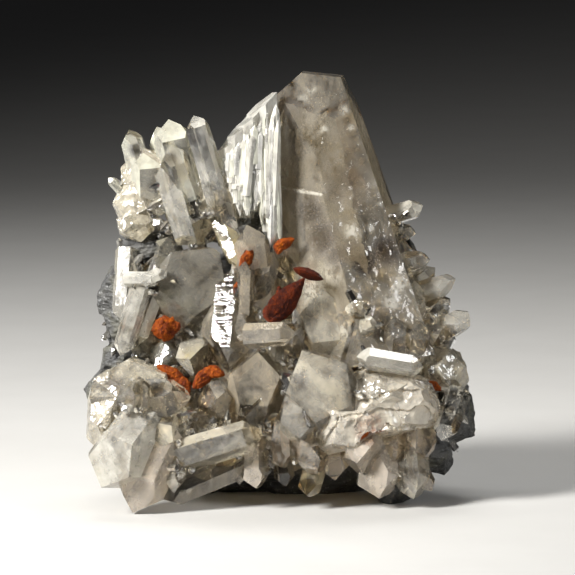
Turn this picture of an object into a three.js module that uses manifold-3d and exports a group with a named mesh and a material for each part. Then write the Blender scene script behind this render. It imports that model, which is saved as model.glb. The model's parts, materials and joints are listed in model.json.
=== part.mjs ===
// A hand-sized cluster of quartz crystals on a scrap of dark host rock,
// with rust-red iron carbonate blades in its hollows.
//
// Places are read off the front of the piece, in millimetres: [across, up, toward].
// across grows to the right, up grows upward and toward grows out of the front.
// The front is looked at slightly from above, so the whole reading is leaned back at the end.

import * as THREE from 'three';
import { ConvexGeometry } from 'three/addons/geometries/ConvexGeometry.js';
import { mergeVertices } from 'three/addons/utils/BufferGeometryUtils.js';
import Module from 'manifold-3d';

// Driving dimensions
const SPECIMEN_HEIGHT = 85; // from the shelf to the top edge of the great crystal
const READING_HEIGHT = 84.26; // the standing height that the places below come to
const SCALE = SPECIMEN_HEIGHT / READING_HEIGHT;
const CLEARANCE = 0.3; // between the quartz, the rock and each iron blade
const FINEST_EDGE = 0.02; // shapes finer than this are not kept
const LOOK_DOWN = 8; // degrees by which the reading looks down on the piece
const REST_LEVEL = 2.8; // level of the lowest crystal point in the leaned-back reading
const MIDDLE_ACROSS = -0.37; // brings the middle of the piece over the origin
const MIDDLE_DEPTH = -6.01;

// Quartz: a pyramid face stands at this angle to the face square across the crystal
const PYRAMID_SLOPE = 51.8;
const SIDES = 6;
const SIXTH = 360 / SIDES;
const CORNER_SHARE = 0.465; // distance of a side face from the axis, as a share of the width
const UNEVEN_SIDES = 0.2; // side faces lie closer or further by up to half of this
const SMALL_FACE_BACK = 0.12; // the three small faces of a point are set back by this share of the width,
const SMALL_FACE_SPREAD = 0.3; // and by up to this much more
const LARGE_FACE_SPREAD = 0.1;
const BACK_POINT_CUT = 0.2; // extra length of the lower point of a crystal with two points
const CHIPPED_TILT = 0.35;

// A lump's faces point up to half of this away from even directions
const LUMP_WOBBLE = 0.25;
const GOLDEN_TURN = 137.508; // degrees from one direction to the next
const LUMP_TURN = 31; // degrees from one lump's first direction to the next lump's

// An iron blade: its shoulder ring as shares of its half size
const BLADE_CORNERS = 8;
const BLADE_SHOULDER = 0.6;
const BLADE_SHOULDER_THICK = 0.86;

const wasm = await Module();
wasm.setup();

const FRONT = new THREE.Vector3(0, 0, 1);
const UP = new THREE.Vector3(0, 1, 0);
const STEEP = 0.8; // an axis closer than this to the front direction takes its guide from UP
const rad = THREE.MathUtils.degToRad;

function place(numbers) {
  return new THREE.Vector3(...numbers);
}

// A repeatable number from 0 to 1 for a whole-number key
function grain(key) {
  const value = Math.sin(key * 12.9898 + 4.1) * 43758.5453;
  return value - Math.floor(value);
}

// Corner points of the solid that lies inside all the planes
function cornersInside(planes) {
  const corners = [];
  const slack = 1e-6; // a corner may lie this far outside a plane
  const apart = 0.012; // corners closer than this are one
  const flatness = 1e-4; // planes more nearly parallel than this don't cross
  const crossing = new THREE.Matrix3();
  for (let i = 0; i < planes.length; i++) {
    for (let j = i + 1; j < planes.length; j++) {
      for (let k = j + 1; k < planes.length; k++) {
        const [a, b, c] = [planes[i].normal, planes[j].normal, planes[k].normal];
        crossing.set(a.x, a.y, a.z, b.x, b.y, b.z, c.x, c.y, c.z);
        if (Math.abs(crossing.determinant()) < flatness) continue;
        const reaches = new THREE.Vector3(planes[i].reach, planes[j].reach, planes[k].reach);
        const corner = reaches.applyMatrix3(crossing.clone().invert());
        if (planes.some((plane) => plane.normal.dot(corner) > plane.reach + slack)) continue;
        if (corners.some((other) => other.distanceTo(corner) < apart)) continue;
        corners.push(corner);
      }
    }
  }
  return corners;
}

function planeAt(normal, point, push = 0) {
  return { normal, reach: normal.dot(point) + push };
}

function grown(planes, grow) {
  return planes.map(({ normal, reach }) => ({ normal, reach: reach + grow }));
}

// Triangles with shared corners, ready to be joined or cut
function toSolid(geometry) {
  const bare = new THREE.BufferGeometry();
  bare.setAttribute('position', geometry.getAttribute('position').clone());
  if (geometry.index) bare.setIndex(geometry.index.clone());
  const tied = mergeVertices(bare, 1e-4);
  const mesh = new wasm.Mesh({
    numProp: 3,
    vertProperties: new Float32Array(tied.getAttribute('position').array),
    triVerts: new Uint32Array(tied.index.array),
  });
  return new wasm.Manifold(mesh);
}

function solidInside(planes) {
  return toSolid(new ConvexGeometry(cornersInside(planes)));
}

function joined(solids) {
  return solids.reduce((all, solid) => all.add(solid));
}

// The biggest body, without the crumbs that cutting leaves behind
function wholeBody(solid) {
  const bodies = solid.asOriginal().simplify(FINEST_EDGE).decompose();
  return bodies.reduce((best, body) => (body.volume() > best.volume() ? body : best));
}

// Two directions square to a crystal's axis: one to its right, one to its front
function acrossAxis(axis) {
  const steep = Math.abs(axis.dot(FRONT)) > STEEP;
  const guide = steep ? UP : FRONT;
  const front = guide.clone().addScaledVector(axis, -guide.dot(axis)).normalize();
  const right = new THREE.Vector3().crossVectors(axis, front).normalize();
  return { front, right };
}

function aroundAxis({ front, right }, degrees) {
  const angle = rad(degrees);
  return front.clone().multiplyScalar(Math.cos(angle)).addScaledVector(right, Math.sin(angle));
}

// Planes of one quartz crystal: six side faces and a six-faced point.
// Three faces of the point are large and three are small, no two crystals quite alike.
// tilt turns the side faces inward toward the tip, lead lets one face of the point take over.
function crystalPlanes({ root, tip, wide, deep = wide, roll = 0, tilt = 1.2, key = 1,
  lead = -1, leadCut = 0.35, broken = false, both = false }) {
  const start = place(root);
  const end = place(tip);
  const axis = end.clone().sub(start).normalize();
  const middle = start.clone().lerp(end, 0.5);
  const around = acrossAxis(axis);
  const planes = [];
  for (let side = 0; side < SIDES; side++) {
    const turn = roll + side * SIXTH;
    const outward = aroundAxis(around, turn);
    const share = Math.hypot(Math.sin(rad(turn)) * wide, Math.cos(rad(turn)) * deep);
    const radius = share * CORNER_SHARE * (1 + UNEVEN_SIDES * (grain(key * 7 + side) - 0.5));
    const lean = rad(tilt);
    const sideNormal = outward.clone().multiplyScalar(Math.cos(lean)).addScaledVector(axis, Math.sin(lean));
    planes.push(planeAt(sideNormal, middle, radius));
    if (broken) continue;
    const small = side % 2 === 1;
    const spread = small
      ? SMALL_FACE_BACK + SMALL_FACE_SPREAD * grain(key * 11 + side)
      : LARGE_FACE_SPREAD * grain(key * 13 + side);
    const cut = side === lead ? -leadCut : spread;
    const slope = rad(PYRAMID_SLOPE);
    const pointNormal = outward.clone().multiplyScalar(Math.sin(slope)).addScaledVector(axis, Math.cos(slope));
    planes.push(planeAt(pointNormal, end, cut * wide * CORNER_SHARE));
    if (!both) continue;
    const backNormal = outward.clone().multiplyScalar(Math.sin(slope)).addScaledVector(axis, -Math.cos(slope));
    planes.push(planeAt(backNormal, start, (small ? 0 : spread + BACK_POINT_CUT) * wide * CORNER_SHARE));
  }
  if (broken) {
    const chipped = axis.clone().addScaledVector(around.right, CHIPPED_TILT * (grain(key) - 0.5)).normalize();
    planes.push(planeAt(chipped, end));
  }
  if (!both) planes.push(planeAt(axis.clone().negate(), start));
  return planes;
}

// Planes of a broken, blocky lump: directions spread evenly over a ball, each cut in by its own amount
function lumpPlanes({ centre, half, faces = 14, rough = 0.22, key = 1, turn = 0 }) {
  const middle = place(centre);
  const planes = [];
  for (let face = 0; face < faces; face++) {
    const height = 1 - (2 * (face + 0.5)) / faces;
    const ring = Math.sqrt(1 - height * height);
    const angle = rad(face * GOLDEN_TURN + key * LUMP_TURN);
    const normal = new THREE.Vector3(ring * Math.cos(angle), height, ring * Math.sin(angle));
    normal.x += LUMP_WOBBLE * (grain(key * 17 + face) - 0.5);
    normal.y += LUMP_WOBBLE * (grain(key * 19 + face) - 0.5);
    normal.normalize();
    const reach = Math.hypot(normal.x * half[0], normal.y * half[1], normal.z * half[2]);
    const cut = 1 - rough * grain(key * 23 + face);
    normal.applyAxisAngle(FRONT, rad(turn));
    planes.push(planeAt(normal, middle, reach * cut));
  }
  return planes;
}

// The great crystal: its sides close in toward a short chisel edge at the top
const GREAT_LEAN = -8.6;
const GREAT_FOOT = [20, 30, -2];
const GREAT_SIDES = [
  // turn from the front, lean toward the axis, a point on the face
  { turn: 82, lean: 10.9, point: [28.0, 44.0, -4] },
  { turn: 22, lean: 11, point: [8.2, 63.8, 9] },
  { turn: -38, lean: 4, point: [8.2, 63.8, 9] },
  { turn: -98, lean: 5.7, point: [-2.0, 66.0, 0] },
  { turn: -158, lean: 6.0, point: [0, 60.0, -15] },
  { turn: 142, lean: 6.0, point: [18.0, 50.0, -17] },
  { turn: -72, lean: 14.5, point: [-1.6, 65.4, 1.2] },
];
const GREAT_TOP = [
  // a point on each face of the top and the way it faces
  { faces: [-0.667, 0.745, 0.02], point: [4.0, 87.8, 1] }, // left slope
  { faces: [-0.1, 0.34, 0.94], point: [8.4, 87.2, 1.6] }, // front slope
  { faces: [0.1, 0.985, 0.13], point: [8.4, 87.3, 1.2] }, // top edge
  { faces: [0.1, 0.78, -0.62], point: [8.4, 88.0, -3.6] }, // back slope
  { faces: [0.86, 0.45, 0.2], point: [13.0, 86.6, 1] }, // right corner
];

function greatCrystalPlanes() {
  const lean = rad(-GREAT_LEAN);
  const axis = new THREE.Vector3(-Math.sin(lean), Math.cos(lean), 0);
  const around = { front: FRONT, right: new THREE.Vector3(Math.cos(lean), Math.sin(lean), 0) };
  const sides = GREAT_SIDES.map(({ turn, lean: closing, point }) => {
    const outward = aroundAxis(around, turn);
    const normal = outward.multiplyScalar(Math.cos(rad(closing))).addScaledVector(axis, Math.sin(rad(closing)));
    return planeAt(normal, place(point));
  });
  const top = GREAT_TOP.map(({ faces, point }) => planeAt(place(faces).normalize(), place(point)));
  const foot = planeAt(axis.clone().negate(), place(GREAT_FOOT));
  return [...sides, ...top, foot];
}

// Above a shallow arc the front left side is set back into a shield-shaped face
const SHIELD_SIDE = 2;
const STEP_DEPTH = 0.7;
const STEP_ARC = [
  { faces: [-0.35, 0.9, 0.2], point: [-1.2, 65.4, 6] },
  { faces: [0, 0.97, 0.2], point: [3.5, 64.2, 7] },
  { faces: [0.12, 0.97, 0.2], point: [8, 63.8, 8] },
];
const CUT_BOX = [
  { faces: [1, 0, 0], point: [40, 0, 0] },
  { faces: [-1, 0, 0], point: [-20, 0, 0] },
  { faces: [0, 1, 0], point: [0, 100, 0] },
  { faces: [0, 0, 1], point: [0, 0, 40] },
];

function facingPlane({ faces, point }) {
  return planeAt(place(faces).normalize(), place(point));
}

function flipped({ normal, reach }) {
  return { normal: normal.clone().negate(), reach: -reach };
}

function greatCrystal() {
  const planes = greatCrystalPlanes();
  const shield = planes[SHIELD_SIDE];
  const inFrontOfShield = flipped({ normal: shield.normal, reach: shield.reach - STEP_DEPTH });
  const cuts = STEP_ARC.map((arc) =>
    solidInside([flipped(facingPlane(arc)), inFrontOfShield, ...CUT_BOX.map(facingPlane)]));
  return solidInside(planes).subtract(joined(cuts));
}

// White parallel growths stepping down the left side of the great crystal
const GROWTH_DEPTH = 6;
const GROWTH_TILT = -1.5; // degrees, so that they widen a little toward the top
const GROWTH_ROLL = -14; // degrees for the first, and GROWTH_ROLL_STEP more for each one after it
const GROWTH_ROLL_STEP = 5;
const GROWTH_KEY = 40;
const GROWTH_ROOT = { across: 0.6, toward: -1.2 }; // the root from the middle of the foot
const FOOT_RISE = 2; // the shaved foot starts this far above the root
const GROWTH_TOP_FACES = [-0.62, 0.76, 0.2];
const GROWTH_FOOT_FACES = [-0.5, -0.8, 0.3];
const PARALLEL_GROWTHS = [
  { across: -4.0, top: 79.4, foot: 63.6, toward: 3.2, wide: 5.0 },
  { across: -6.4, top: 77.2, foot: 60.0, toward: 4.4, wide: 3.6 },
  { across: -8.4, top: 75.2, foot: 58.8, toward: 3.4, wide: 3.8 },
  { across: -10.2, top: 72.6, foot: 60.8, toward: 2.2, wide: 3.8 },
  { across: -2.4, top: 71.6, foot: 54.6, toward: 5.4, wide: 3.2 },
  { across: -5.2, top: 73.6, foot: 64.6, toward: 5.0, wide: 2.2 },
  { across: -7.2, top: 74.0, foot: 58.6, toward: 5.2, wide: 1.8 },
  { across: -9.4, top: 71.6, foot: 61.4, toward: 4.4, wide: 2.2 },
  { across: -6.6, top: 73.4, foot: 62.0, toward: 0.6, wide: 9.4 },
];

function parallelGrowth({ across, top, foot, toward, wide }, index) {
  const slope = planeAt(place(GROWTH_TOP_FACES).normalize(), place([across - wide / 2, top, toward]));
  const body = crystalPlanes({
    root: [across + GROWTH_ROOT.across, foot, toward + GROWTH_ROOT.toward],
    tip: [across, top + wide, toward],
    wide,
    deep: GROWTH_DEPTH,
    roll: GROWTH_ROLL + GROWTH_ROLL_STEP * index,
    tilt: GROWTH_TILT,
    broken: true,
    key: GROWTH_KEY + index,
  });
  const shavedFoot = planeAt(place(GROWTH_FOOT_FACES).normalize(), place([across - wide / 2, foot + FOOT_RISE, toward]));
  return [...body, slope, shavedFoot];
}

const UPPER_LEFT = [
  { root: [-27.4, 64.4, -1], tip: [-30.4, 76.4, 0], wide: 4.8, roll: 24 },
  { root: [-17.6, 56.4, 0], tip: [-22.4, 78.6, 1.5], wide: 8.2, deep: 6.4, roll: 4, lead: 0, leadCut: 0.12 },
  { root: [-18.6, 62.4, 2.5], tip: [-22.2, 73.2, 5], wide: 5.4, roll: 8, lead: 0, leadCut: 0.2 },
  { root: [-9.8, 54.0, 3], tip: [-17.4, 79.0, 5.5], wide: 5.1, roll: 14 },
  { root: [-13.0, 60.0, 2.6], tip: [-8.1, 49.2, 7], wide: 4.0, roll: 20 },
  { root: [-31.4, 63.6, 0], tip: [-34.4, 66.8, 0.6], wide: 1.8 },
  { root: [-23.0, 68.0, 2], tip: [-18.9, 54.3, 8.4], wide: 5.0, roll: 34, broken: true },
  { root: [-26.4, 60.0, -1], tip: [-26.8, 72.4, 3], wide: 6.4, roll: 12, lead: 2 },
  { root: [-18.6, 58.0, -2], tip: [-24.8, 76.8, -2], wide: 5.2, roll: 20 },
];

const LEFT_SIDE = [
  { root: [-22.6, 39.9, -1.3], tip: [-12.6, 52.0, 11.1], wide: 13.6, deep: 13, roll: 4, lead: 0, leadCut: 0.52 },
  { root: [-27.4, 43.0, -3], tip: [-20.8, 55.4, 1.5], wide: 6.6, roll: 10 },
  { root: [-30.8, 46.6, 7], tip: [-25.2, 46.6, 9.4], wide: 2.9, roll: 10, broken: true },
  { root: [-27.2, 46.2, 8.6], tip: [-22.6, 48.2, 10.2], wide: 2.7, roll: 24 },
  { root: [-27.2, 47.2, 5.5], tip: [-31.8, 31.4, 10], wide: 4.0, roll: 8 },
  { root: [-25.0, 45.8, 3.5], tip: [-29.4, 33.0, 7.4], wide: 4.4, roll: 28 },
  { root: [-30.8, 52.4, 1], tip: [-31.8, 38.6, 5.4], wide: 4.4, roll: 16 },
  { root: [-22.4, 44.0, -6], tip: [-20.4, 41.0, 5.6], wide: 9.4, roll: 22, lead: 3 },
  { root: [-28.4, 38.0, -4], tip: [-26.4, 32.6, 7], wide: 8.0, roll: 6, lead: 0 },
  { root: [-19.6, 36.0, -6], tip: [-18.2, 37.6, 5.8], wide: 8.4, roll: 30, lead: 2 },
  { root: [-16.4, 33.0, -2], tip: [-17.4, 30.4, 11.4], wide: 7.8, roll: 12, lead: 4, leadCut: 0.2 },
  { root: [-22.6, 34.0, 0], tip: [-24.0, 29.2, 9.5], wide: 5.6, roll: 20, lead: 0 },
];

const CENTRE_LEFT = [
  { root: [-4.2, 41.0, 2], tip: [-6.2, 57.8, 8.4], wide: 7.2, roll: 18, lead: 2, leadCut: 0.24 },
  { root: [-3.4, 50.0, 3], tip: [-4.8, 42.8, 10.4], wide: 6.0, roll: 2, lead: 5 },
  { root: [-9.4, 46.0, 4], tip: [-11.4, 27.8, 12], wide: 8.4, roll: 22, lead: 1 },
  { root: [-12.0, 41.0, 4], tip: [-13.6, 33.4, 11.6], wide: 5.6, roll: 10, lead: 0 },
  { root: [-7.8, 34.0, 8], tip: [-7.2, 49.8, 10.6], wide: 4.6, roll: 6 },
  { root: [-8.6, 40.0, 7], tip: [-5.6, 34.4, 13.4], wide: 5.4, roll: 16, lead: 2 },
  { root: [-6.8, 35.4, 13.6], tip: [2.8, 36.0, 17.2], wide: 4.5, roll: 8 },
  { root: [-6.4, 17.9, 5.4], tip: [-4.4, 31.9, 16.5], wide: 10.4, deep: 10, roll: 6, lead: 0, leadCut: 0.42 },
  { root: [-3.6, 25.0, 2], tip: [-5.6, 18.6, 15.6], wide: 9.2, roll: 14, lead: 4 },
  { root: [-12.0, 23.6, 2], tip: [-13.6, 22.2, 16.4], wide: 7.6, roll: 10, lead: 1, leadCut: 0.2 },
  { root: [-17.0, 21.0, 4], tip: [-18.6, 13.4, 14], wide: 5.0, roll: 24 },
  { root: [-15.6, 26.0, 0], tip: [-15.4, 16.6, 11.6], wide: 5.6, roll: 2, lead: 3 },
  { root: [1.6, 33.0, 4], tip: [2.4, 37.2, 13.0], wide: 6.0, roll: 18, lead: 0 },
];

const CENTRE_RIGHT = [
  { root: [9.6, 26.0, 0], tip: [8.2, 44.4, 12.6], wide: 9.8, deep: 9, roll: 2, lead: 0, leadCut: 0.5 },
  { root: [12.2, 18.4, 8.7], tip: [4.4, 32.0, 20.6], wide: 13.0, deep: 12.6, roll: -6, lead: 0, leadCut: 0.5 },
  { root: [4.8, 28.0, 6], tip: [2.6, 14.2, 18], wide: 8.2, roll: 22, lead: 2 },
  { root: [11.0, 30.0, 4], tip: [10.4, 20.6, 17], wide: 8.4, roll: 12, lead: 4 },
  { root: [12.6, 29.0, 10.6], tip: [15.4, 39.0, 13.4], wide: 2.2, roll: 18 },
  { root: [15.4, 31.0, 10], tip: [17.4, 38.6, 12.6], wide: 3.0, roll: 4 },
  { root: [22.2, 29.0, 9], tip: [22.8, 39.4, 13], wide: 4.8, roll: 26, lead: 0 },
  { root: [18.4, 29.0, 8], tip: [18.8, 37.8, 11], wide: 5.2, roll: 8 },
  { root: [26.2, 29.0, 6], tip: [27.4, 38.4, 11.4], wide: 5.4, roll: 12 },
  { root: [14.9, 31.2, 16.4], tip: [27.9, 29.1, 15.0], wide: 4.1, roll: 6, both: true },
  { root: [24.0, 34.0, 1], tip: [27.0, 43.8, 3], wide: 5.4, roll: 18 },
];

const RIGHT_EDGE = [
  { root: [19.6, 58.6, -3], tip: [28.2, 61.2, 1.6], wide: 4.1, roll: 22 },
  { root: [22.2, 56.6, -3], tip: [26.8, 55.6, 1], wide: 3.2, roll: 6 },
  { root: [24.0, 50.0, -3], tip: [29.6, 50.4, 1.4], wide: 3.6, roll: 12 },
  { root: [26.4, 43.6, -3], tip: [34.8, 46.2, 3], wide: 4.6, roll: 26, lead: 1, leadCut: 0.3 },
  { root: [28.6, 33.6, -2], tip: [37.6, 39.8, 4], wide: 4.8, roll: 18, lead: 5 },
  { root: [25.4, 45.0, -4], tip: [30.8, 48.9, 0], wide: 3.2, roll: 4 },
  { root: [27.4, 38.4, -4], tip: [33.8, 42.4, 1], wide: 4.4, roll: 20 },
  { root: [27.0, 34.0, 0], tip: [31.4, 36.6, 8], wide: 6.0, roll: 10, lead: 0 },
  { root: [35.2, 24.2, 7], tip: [31.8, 14.6, 12.6], wide: 4.8, roll: 14 },
];

const LOWER_LEFT = [
  { root: [-36.4, 23.0, 10.6], tip: [-17.8, 23.2, 17], wide: 9.0, deep: 6.4, roll: 28 },
  { root: [-28.4, 19.4, 14], tip: [-27.9, 27.3, 19.2], wide: 4.6, roll: 12 },
  { root: [-27.0, 21.0, 17], tip: [-26.8, 25.9, 20.6], wide: 1.9, roll: 8 },
  { root: [-23.6, 22.4, 8], tip: [-35.4, 6.0, 23.4], wide: 11.0, deep: 10.4, roll: 20, lead: 0, leadCut: 0.2 },
  { root: [-22.6, 15.4, 12], tip: [-29.2, 0.6, 19.6], wide: 9.4, deep: 8.6, roll: 10, lead: 0, leadCut: 0.16 },
  { root: [-20.6, 17.4, 11], tip: [-20.9, 4.6, 17.6], wide: 4.0, roll: 28 },
  { root: [-21.4, 21.4, 10], tip: [-23.6, 13.6, 18.4], wide: 4.8, roll: 6, lead: 0 },
  { root: [-23.0, 16.0, 9], tip: [-23.8, 6.4, 17], wide: 5.4, roll: 18 },
  { root: [-22.4, 10.6, 12.6], tip: [-3.6, 16.6, 18.6], wide: 6.4, roll: 4, lead: 3, leadCut: 0.1 },
  { root: [-5.0, 11.2, 10], tip: [-23.6, 3.2, 16.4], wide: 5.4, roll: 20 },
];

const BOTTOM = [
  { root: [-5.2, 14.4, 9], tip: [-5.0, 5.4, 15.4], wide: 5.4, roll: 14 },
  { root: [-8.4, 13.6, 8], tip: [-8.2, 6.0, 13], wide: 4.8, roll: 2 },
  { root: [-0.6, 18.0, 9], tip: [0.2, 9.4, 16.4], wide: 4.0, roll: 22 },
  { root: [0.2, 13.0, 7], tip: [0.9, 5.6, 12], wide: 4.0, roll: 8 },
  { root: [4.6, 15.4, 6], tip: [7.0, 9.8, 19], wide: 6.0, roll: 18, lead: 1 },
  { root: [7.4, 12.0, 8], tip: [5.3, 3.9, 15], wide: 5.0, roll: 28 },
  { root: [10.4, 17.0, 6], tip: [10.6, 6.8, 12.4], wide: 6.0, roll: 6 },
  { root: [17.0, 18.0, 2], tip: [15.8, 9.6, 17.6], wide: 8.4, roll: 12, lead: 4, leadCut: 0.24 },
  { root: [19.6, 16.0, 4], tip: [18.9, 3.6, 15.4], wide: 8.8, roll: 24, lead: 0, leadCut: 0.2 },
  { root: [25.2, 15.0, 4], tip: [26.0, 3.4, 14.2], wide: 7.4, roll: 14, lead: 1, leadCut: 0.24 },
  { root: [26.4, 10.6, 6], tip: [29.8, 4.6, 11], wide: 3.6, roll: 8 },
  { root: [26.0, 19.0, 2], tip: [28.2, 12.2, 13.8], wide: 6.6, roll: 26, lead: 5 },
  { root: [22.0, 19.6, 2], tip: [22.2, 10.6, 12.6], wide: 6.0, roll: 18 },
];

const BACK = [
  { root: [-17.0, 38.0, -17], tip: [-24.0, 51.6, -24], wide: 7.6, roll: 12 },
  { root: [-8.0, 40.0, -17], tip: [-9.0, 55.0, -22], wide: 6.4, roll: 20 },
  { root: [-18.0, 34.0, -18], tip: [-30.0, 36.0, -25], wide: 5.4, roll: 6 },
  { root: [20.0, 34.0, -16], tip: [30.0, 40.4, -21], wide: 6.4, roll: 24 },
  { root: [20.0, 28.0, -18], tip: [28.0, 24.6, -25], wide: 5.2, roll: 16 },
  { root: [9.0, 38.0, -18], tip: [12.0, 45.0, -28], wide: 5.8, roll: 4 },
  { root: [-4.0, 37.0, -19], tip: [-3.0, 43.6, -28.4], wide: 6.6, roll: 28 },
  { root: [-13.0, 34.0, -18], tip: [-14.6, 28.6, -27.6], wide: 7.0, roll: 10 },
  { root: [4.0, 38.0, -18], tip: [3.6, 27.4, -27.4], wide: 5.4, roll: 22 },
];

const MILKY_LUMPS = [
  { centre: [-29.0, 62.0, -1], half: [4.4, 6.4, 4.6], faces: 16, key: 3 },
  { centre: [-29.2, 57.2, 1], half: [4.0, 2.9, 4.2], faces: 14, key: 5 },
  { centre: [-26.6, 66.8, -0.6], half: [5.4, 5.4, 4.4], faces: 18, key: 8 },
  { centre: [-17.4, 60.4, -1.4], half: [6.6, 7.0, 4.4], faces: 14, key: 9 },
  { centre: [-34.4, 20.8, 11], half: [4.2, 9.0, 5.6], faces: 18, key: 12, turn: -14 },
  { centre: [-28.8, 24.0, 10], half: [8.4, 7.0, 5.4], faces: 16, key: 13, turn: -10 },
  { centre: [-24.0, 17.0, 10], half: [6.4, 7.4, 5.0], faces: 16, key: 14 },
  { centre: [21.2, 22.2, 9.4], half: [11.2, 6.6, 6.8], faces: 20, key: 21, rough: 0.1, turn: -6 },
  { centre: [11.8, 19.0, 11.4], half: [6.6, 6.2, 6.2], faces: 18, key: 22, rough: 0.12, turn: 30 },
  { centre: [32.4, 28.8, 4], half: [4.4, 5.4, 5.2], faces: 18, key: 25, turn: 20 },
  { centre: [29.6, 36.6, -1], half: [5.2, 5.6, 4.6], faces: 16, key: 26 },
  { centre: [25.8, 41.0, 1], half: [3.2, 6.0, 4.6], faces: 14, key: 27, turn: 14 },
  { centre: [15.4, 40.9, 14], half: [1.9, 1.9, 1.7], faces: 24, key: 31, rough: 0.04 },
  { centre: [13.9, 40.5, 14.4], half: [1.2, 1.2, 1.1], faces: 20, key: 32, rough: 0.04 },
  { centre: [17.2, 37.4, 13.6], half: [1.7, 2.0, 1.6], faces: 20, key: 33, rough: 0.06 },
  { centre: [-4.0, 28.0, 0], half: [14, 14, 7], faces: 11, key: 35 },
  { centre: [12.0, 24.0, 0], half: [15, 12, 7], faces: 11, key: 36 },
  { centre: [-14.0, 14.0, 8], half: [12, 5.6, 5], faces: 11, key: 37 },
  { centre: [4.0, 15.0, 8], half: [9, 5.4, 5], faces: 11, key: 38 },
  { centre: [-19.0, 34.0, -2], half: [10, 11, 6], faces: 11, key: 39 },
  { centre: [6.0, 40.0, -18.4], half: [12, 8.4, 5.4], faces: 18, key: 41 },
  { centre: [-13.0, 36.6, -19], half: [11.4, 8.4, 4.8], faces: 18, key: 42 },
  { centre: [20.0, 31.0, -17], half: [9, 8, 5.4], faces: 16, key: 43 },
];

// Curved ledges of the shell-broken mass at the lower right, each a thin slice bent over the last
const SHELL_LEDGES = [
  { centre: [18.2, 20.8, 12.2], half: [10.4, 5.6, 5.0], turn: 14 },
  { centre: [20.6, 23.6, 11.2], half: [9.2, 5.8, 5.2], turn: -4 },
  { centre: [24.4, 22.4, 11.6], half: [7.0, 5.2, 5.2], turn: -16 },
  { centre: [14.0, 17.6, 13.0], half: [7.6, 4.2, 5.0], turn: 34 },
];
const LEDGE_SHAPE = { faces: 20, rough: 0.05 };
const LEDGE_KEY = 70;

// Dark host rock: rough slabs behind the crystals that come out at the left and the lower right
const ROCK_LUMPS = [
  { centre: [-3.0, 22.0, -12.6], half: [29, 22, 8.4], faces: 20, key: 51, rough: 0.14 },
  { centre: [-8.0, 42.0, -11], half: [21, 12, 6.4], faces: 20, key: 52, rough: 0.18 },
  { centre: [-26.6, 38.0, -8], half: [8.0, 13.6, 6.6], faces: 18, key: 64, rough: 0.2 },
  { centre: [-31.6, 41.6, -3.6], half: [3.8, 11.2, 7.4], faces: 20, key: 53, rough: 0.24, turn: 6 },
  { centre: [-34.8, 42.4, -3], half: [2.2, 2.6, 3.0], faces: 10, key: 54 },
  { centre: [-31.4, 26.0, -4], half: [6.0, 8.0, 7.6], faces: 14, key: 65 },
  { centre: [-35.6, 25.4, 2], half: [2.4, 4.6, 5.0], faces: 12, key: 55, turn: -14 },
  { centre: [-26.8, 53.0, -2.4], half: [6.0, 4.4, 4.6], faces: 16, key: 56 },
  { centre: [-4.6, 54.0, -6], half: [5.8, 13.0, 5.6], faces: 16, key: 57 },
  { centre: [34.4, 20.6, -1.6], half: [4.4, 8.0, 8], faces: 20, key: 58, rough: 0.24, turn: 10 },
  { centre: [30.0, 12.8, 0], half: [5.2, 5.8, 7.4], faces: 18, key: 59, rough: 0.24 },
  { centre: [22.6, 7.0, 4.6], half: [5.2, 6.2, 6.4], faces: 16, key: 60 },
  { centre: [21.0, 25.0, -10], half: [14, 16, 7.4], faces: 20, key: 61, rough: 0.2 },
  { centre: [-20.0, 13.0, -8], half: [14, 11, 8], faces: 20, key: 62, rough: 0.18 },
  { centre: [8.0, 11.0, -10], half: [18, 10, 7.4], faces: 18, key: 63, rough: 0.16 },
];

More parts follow.
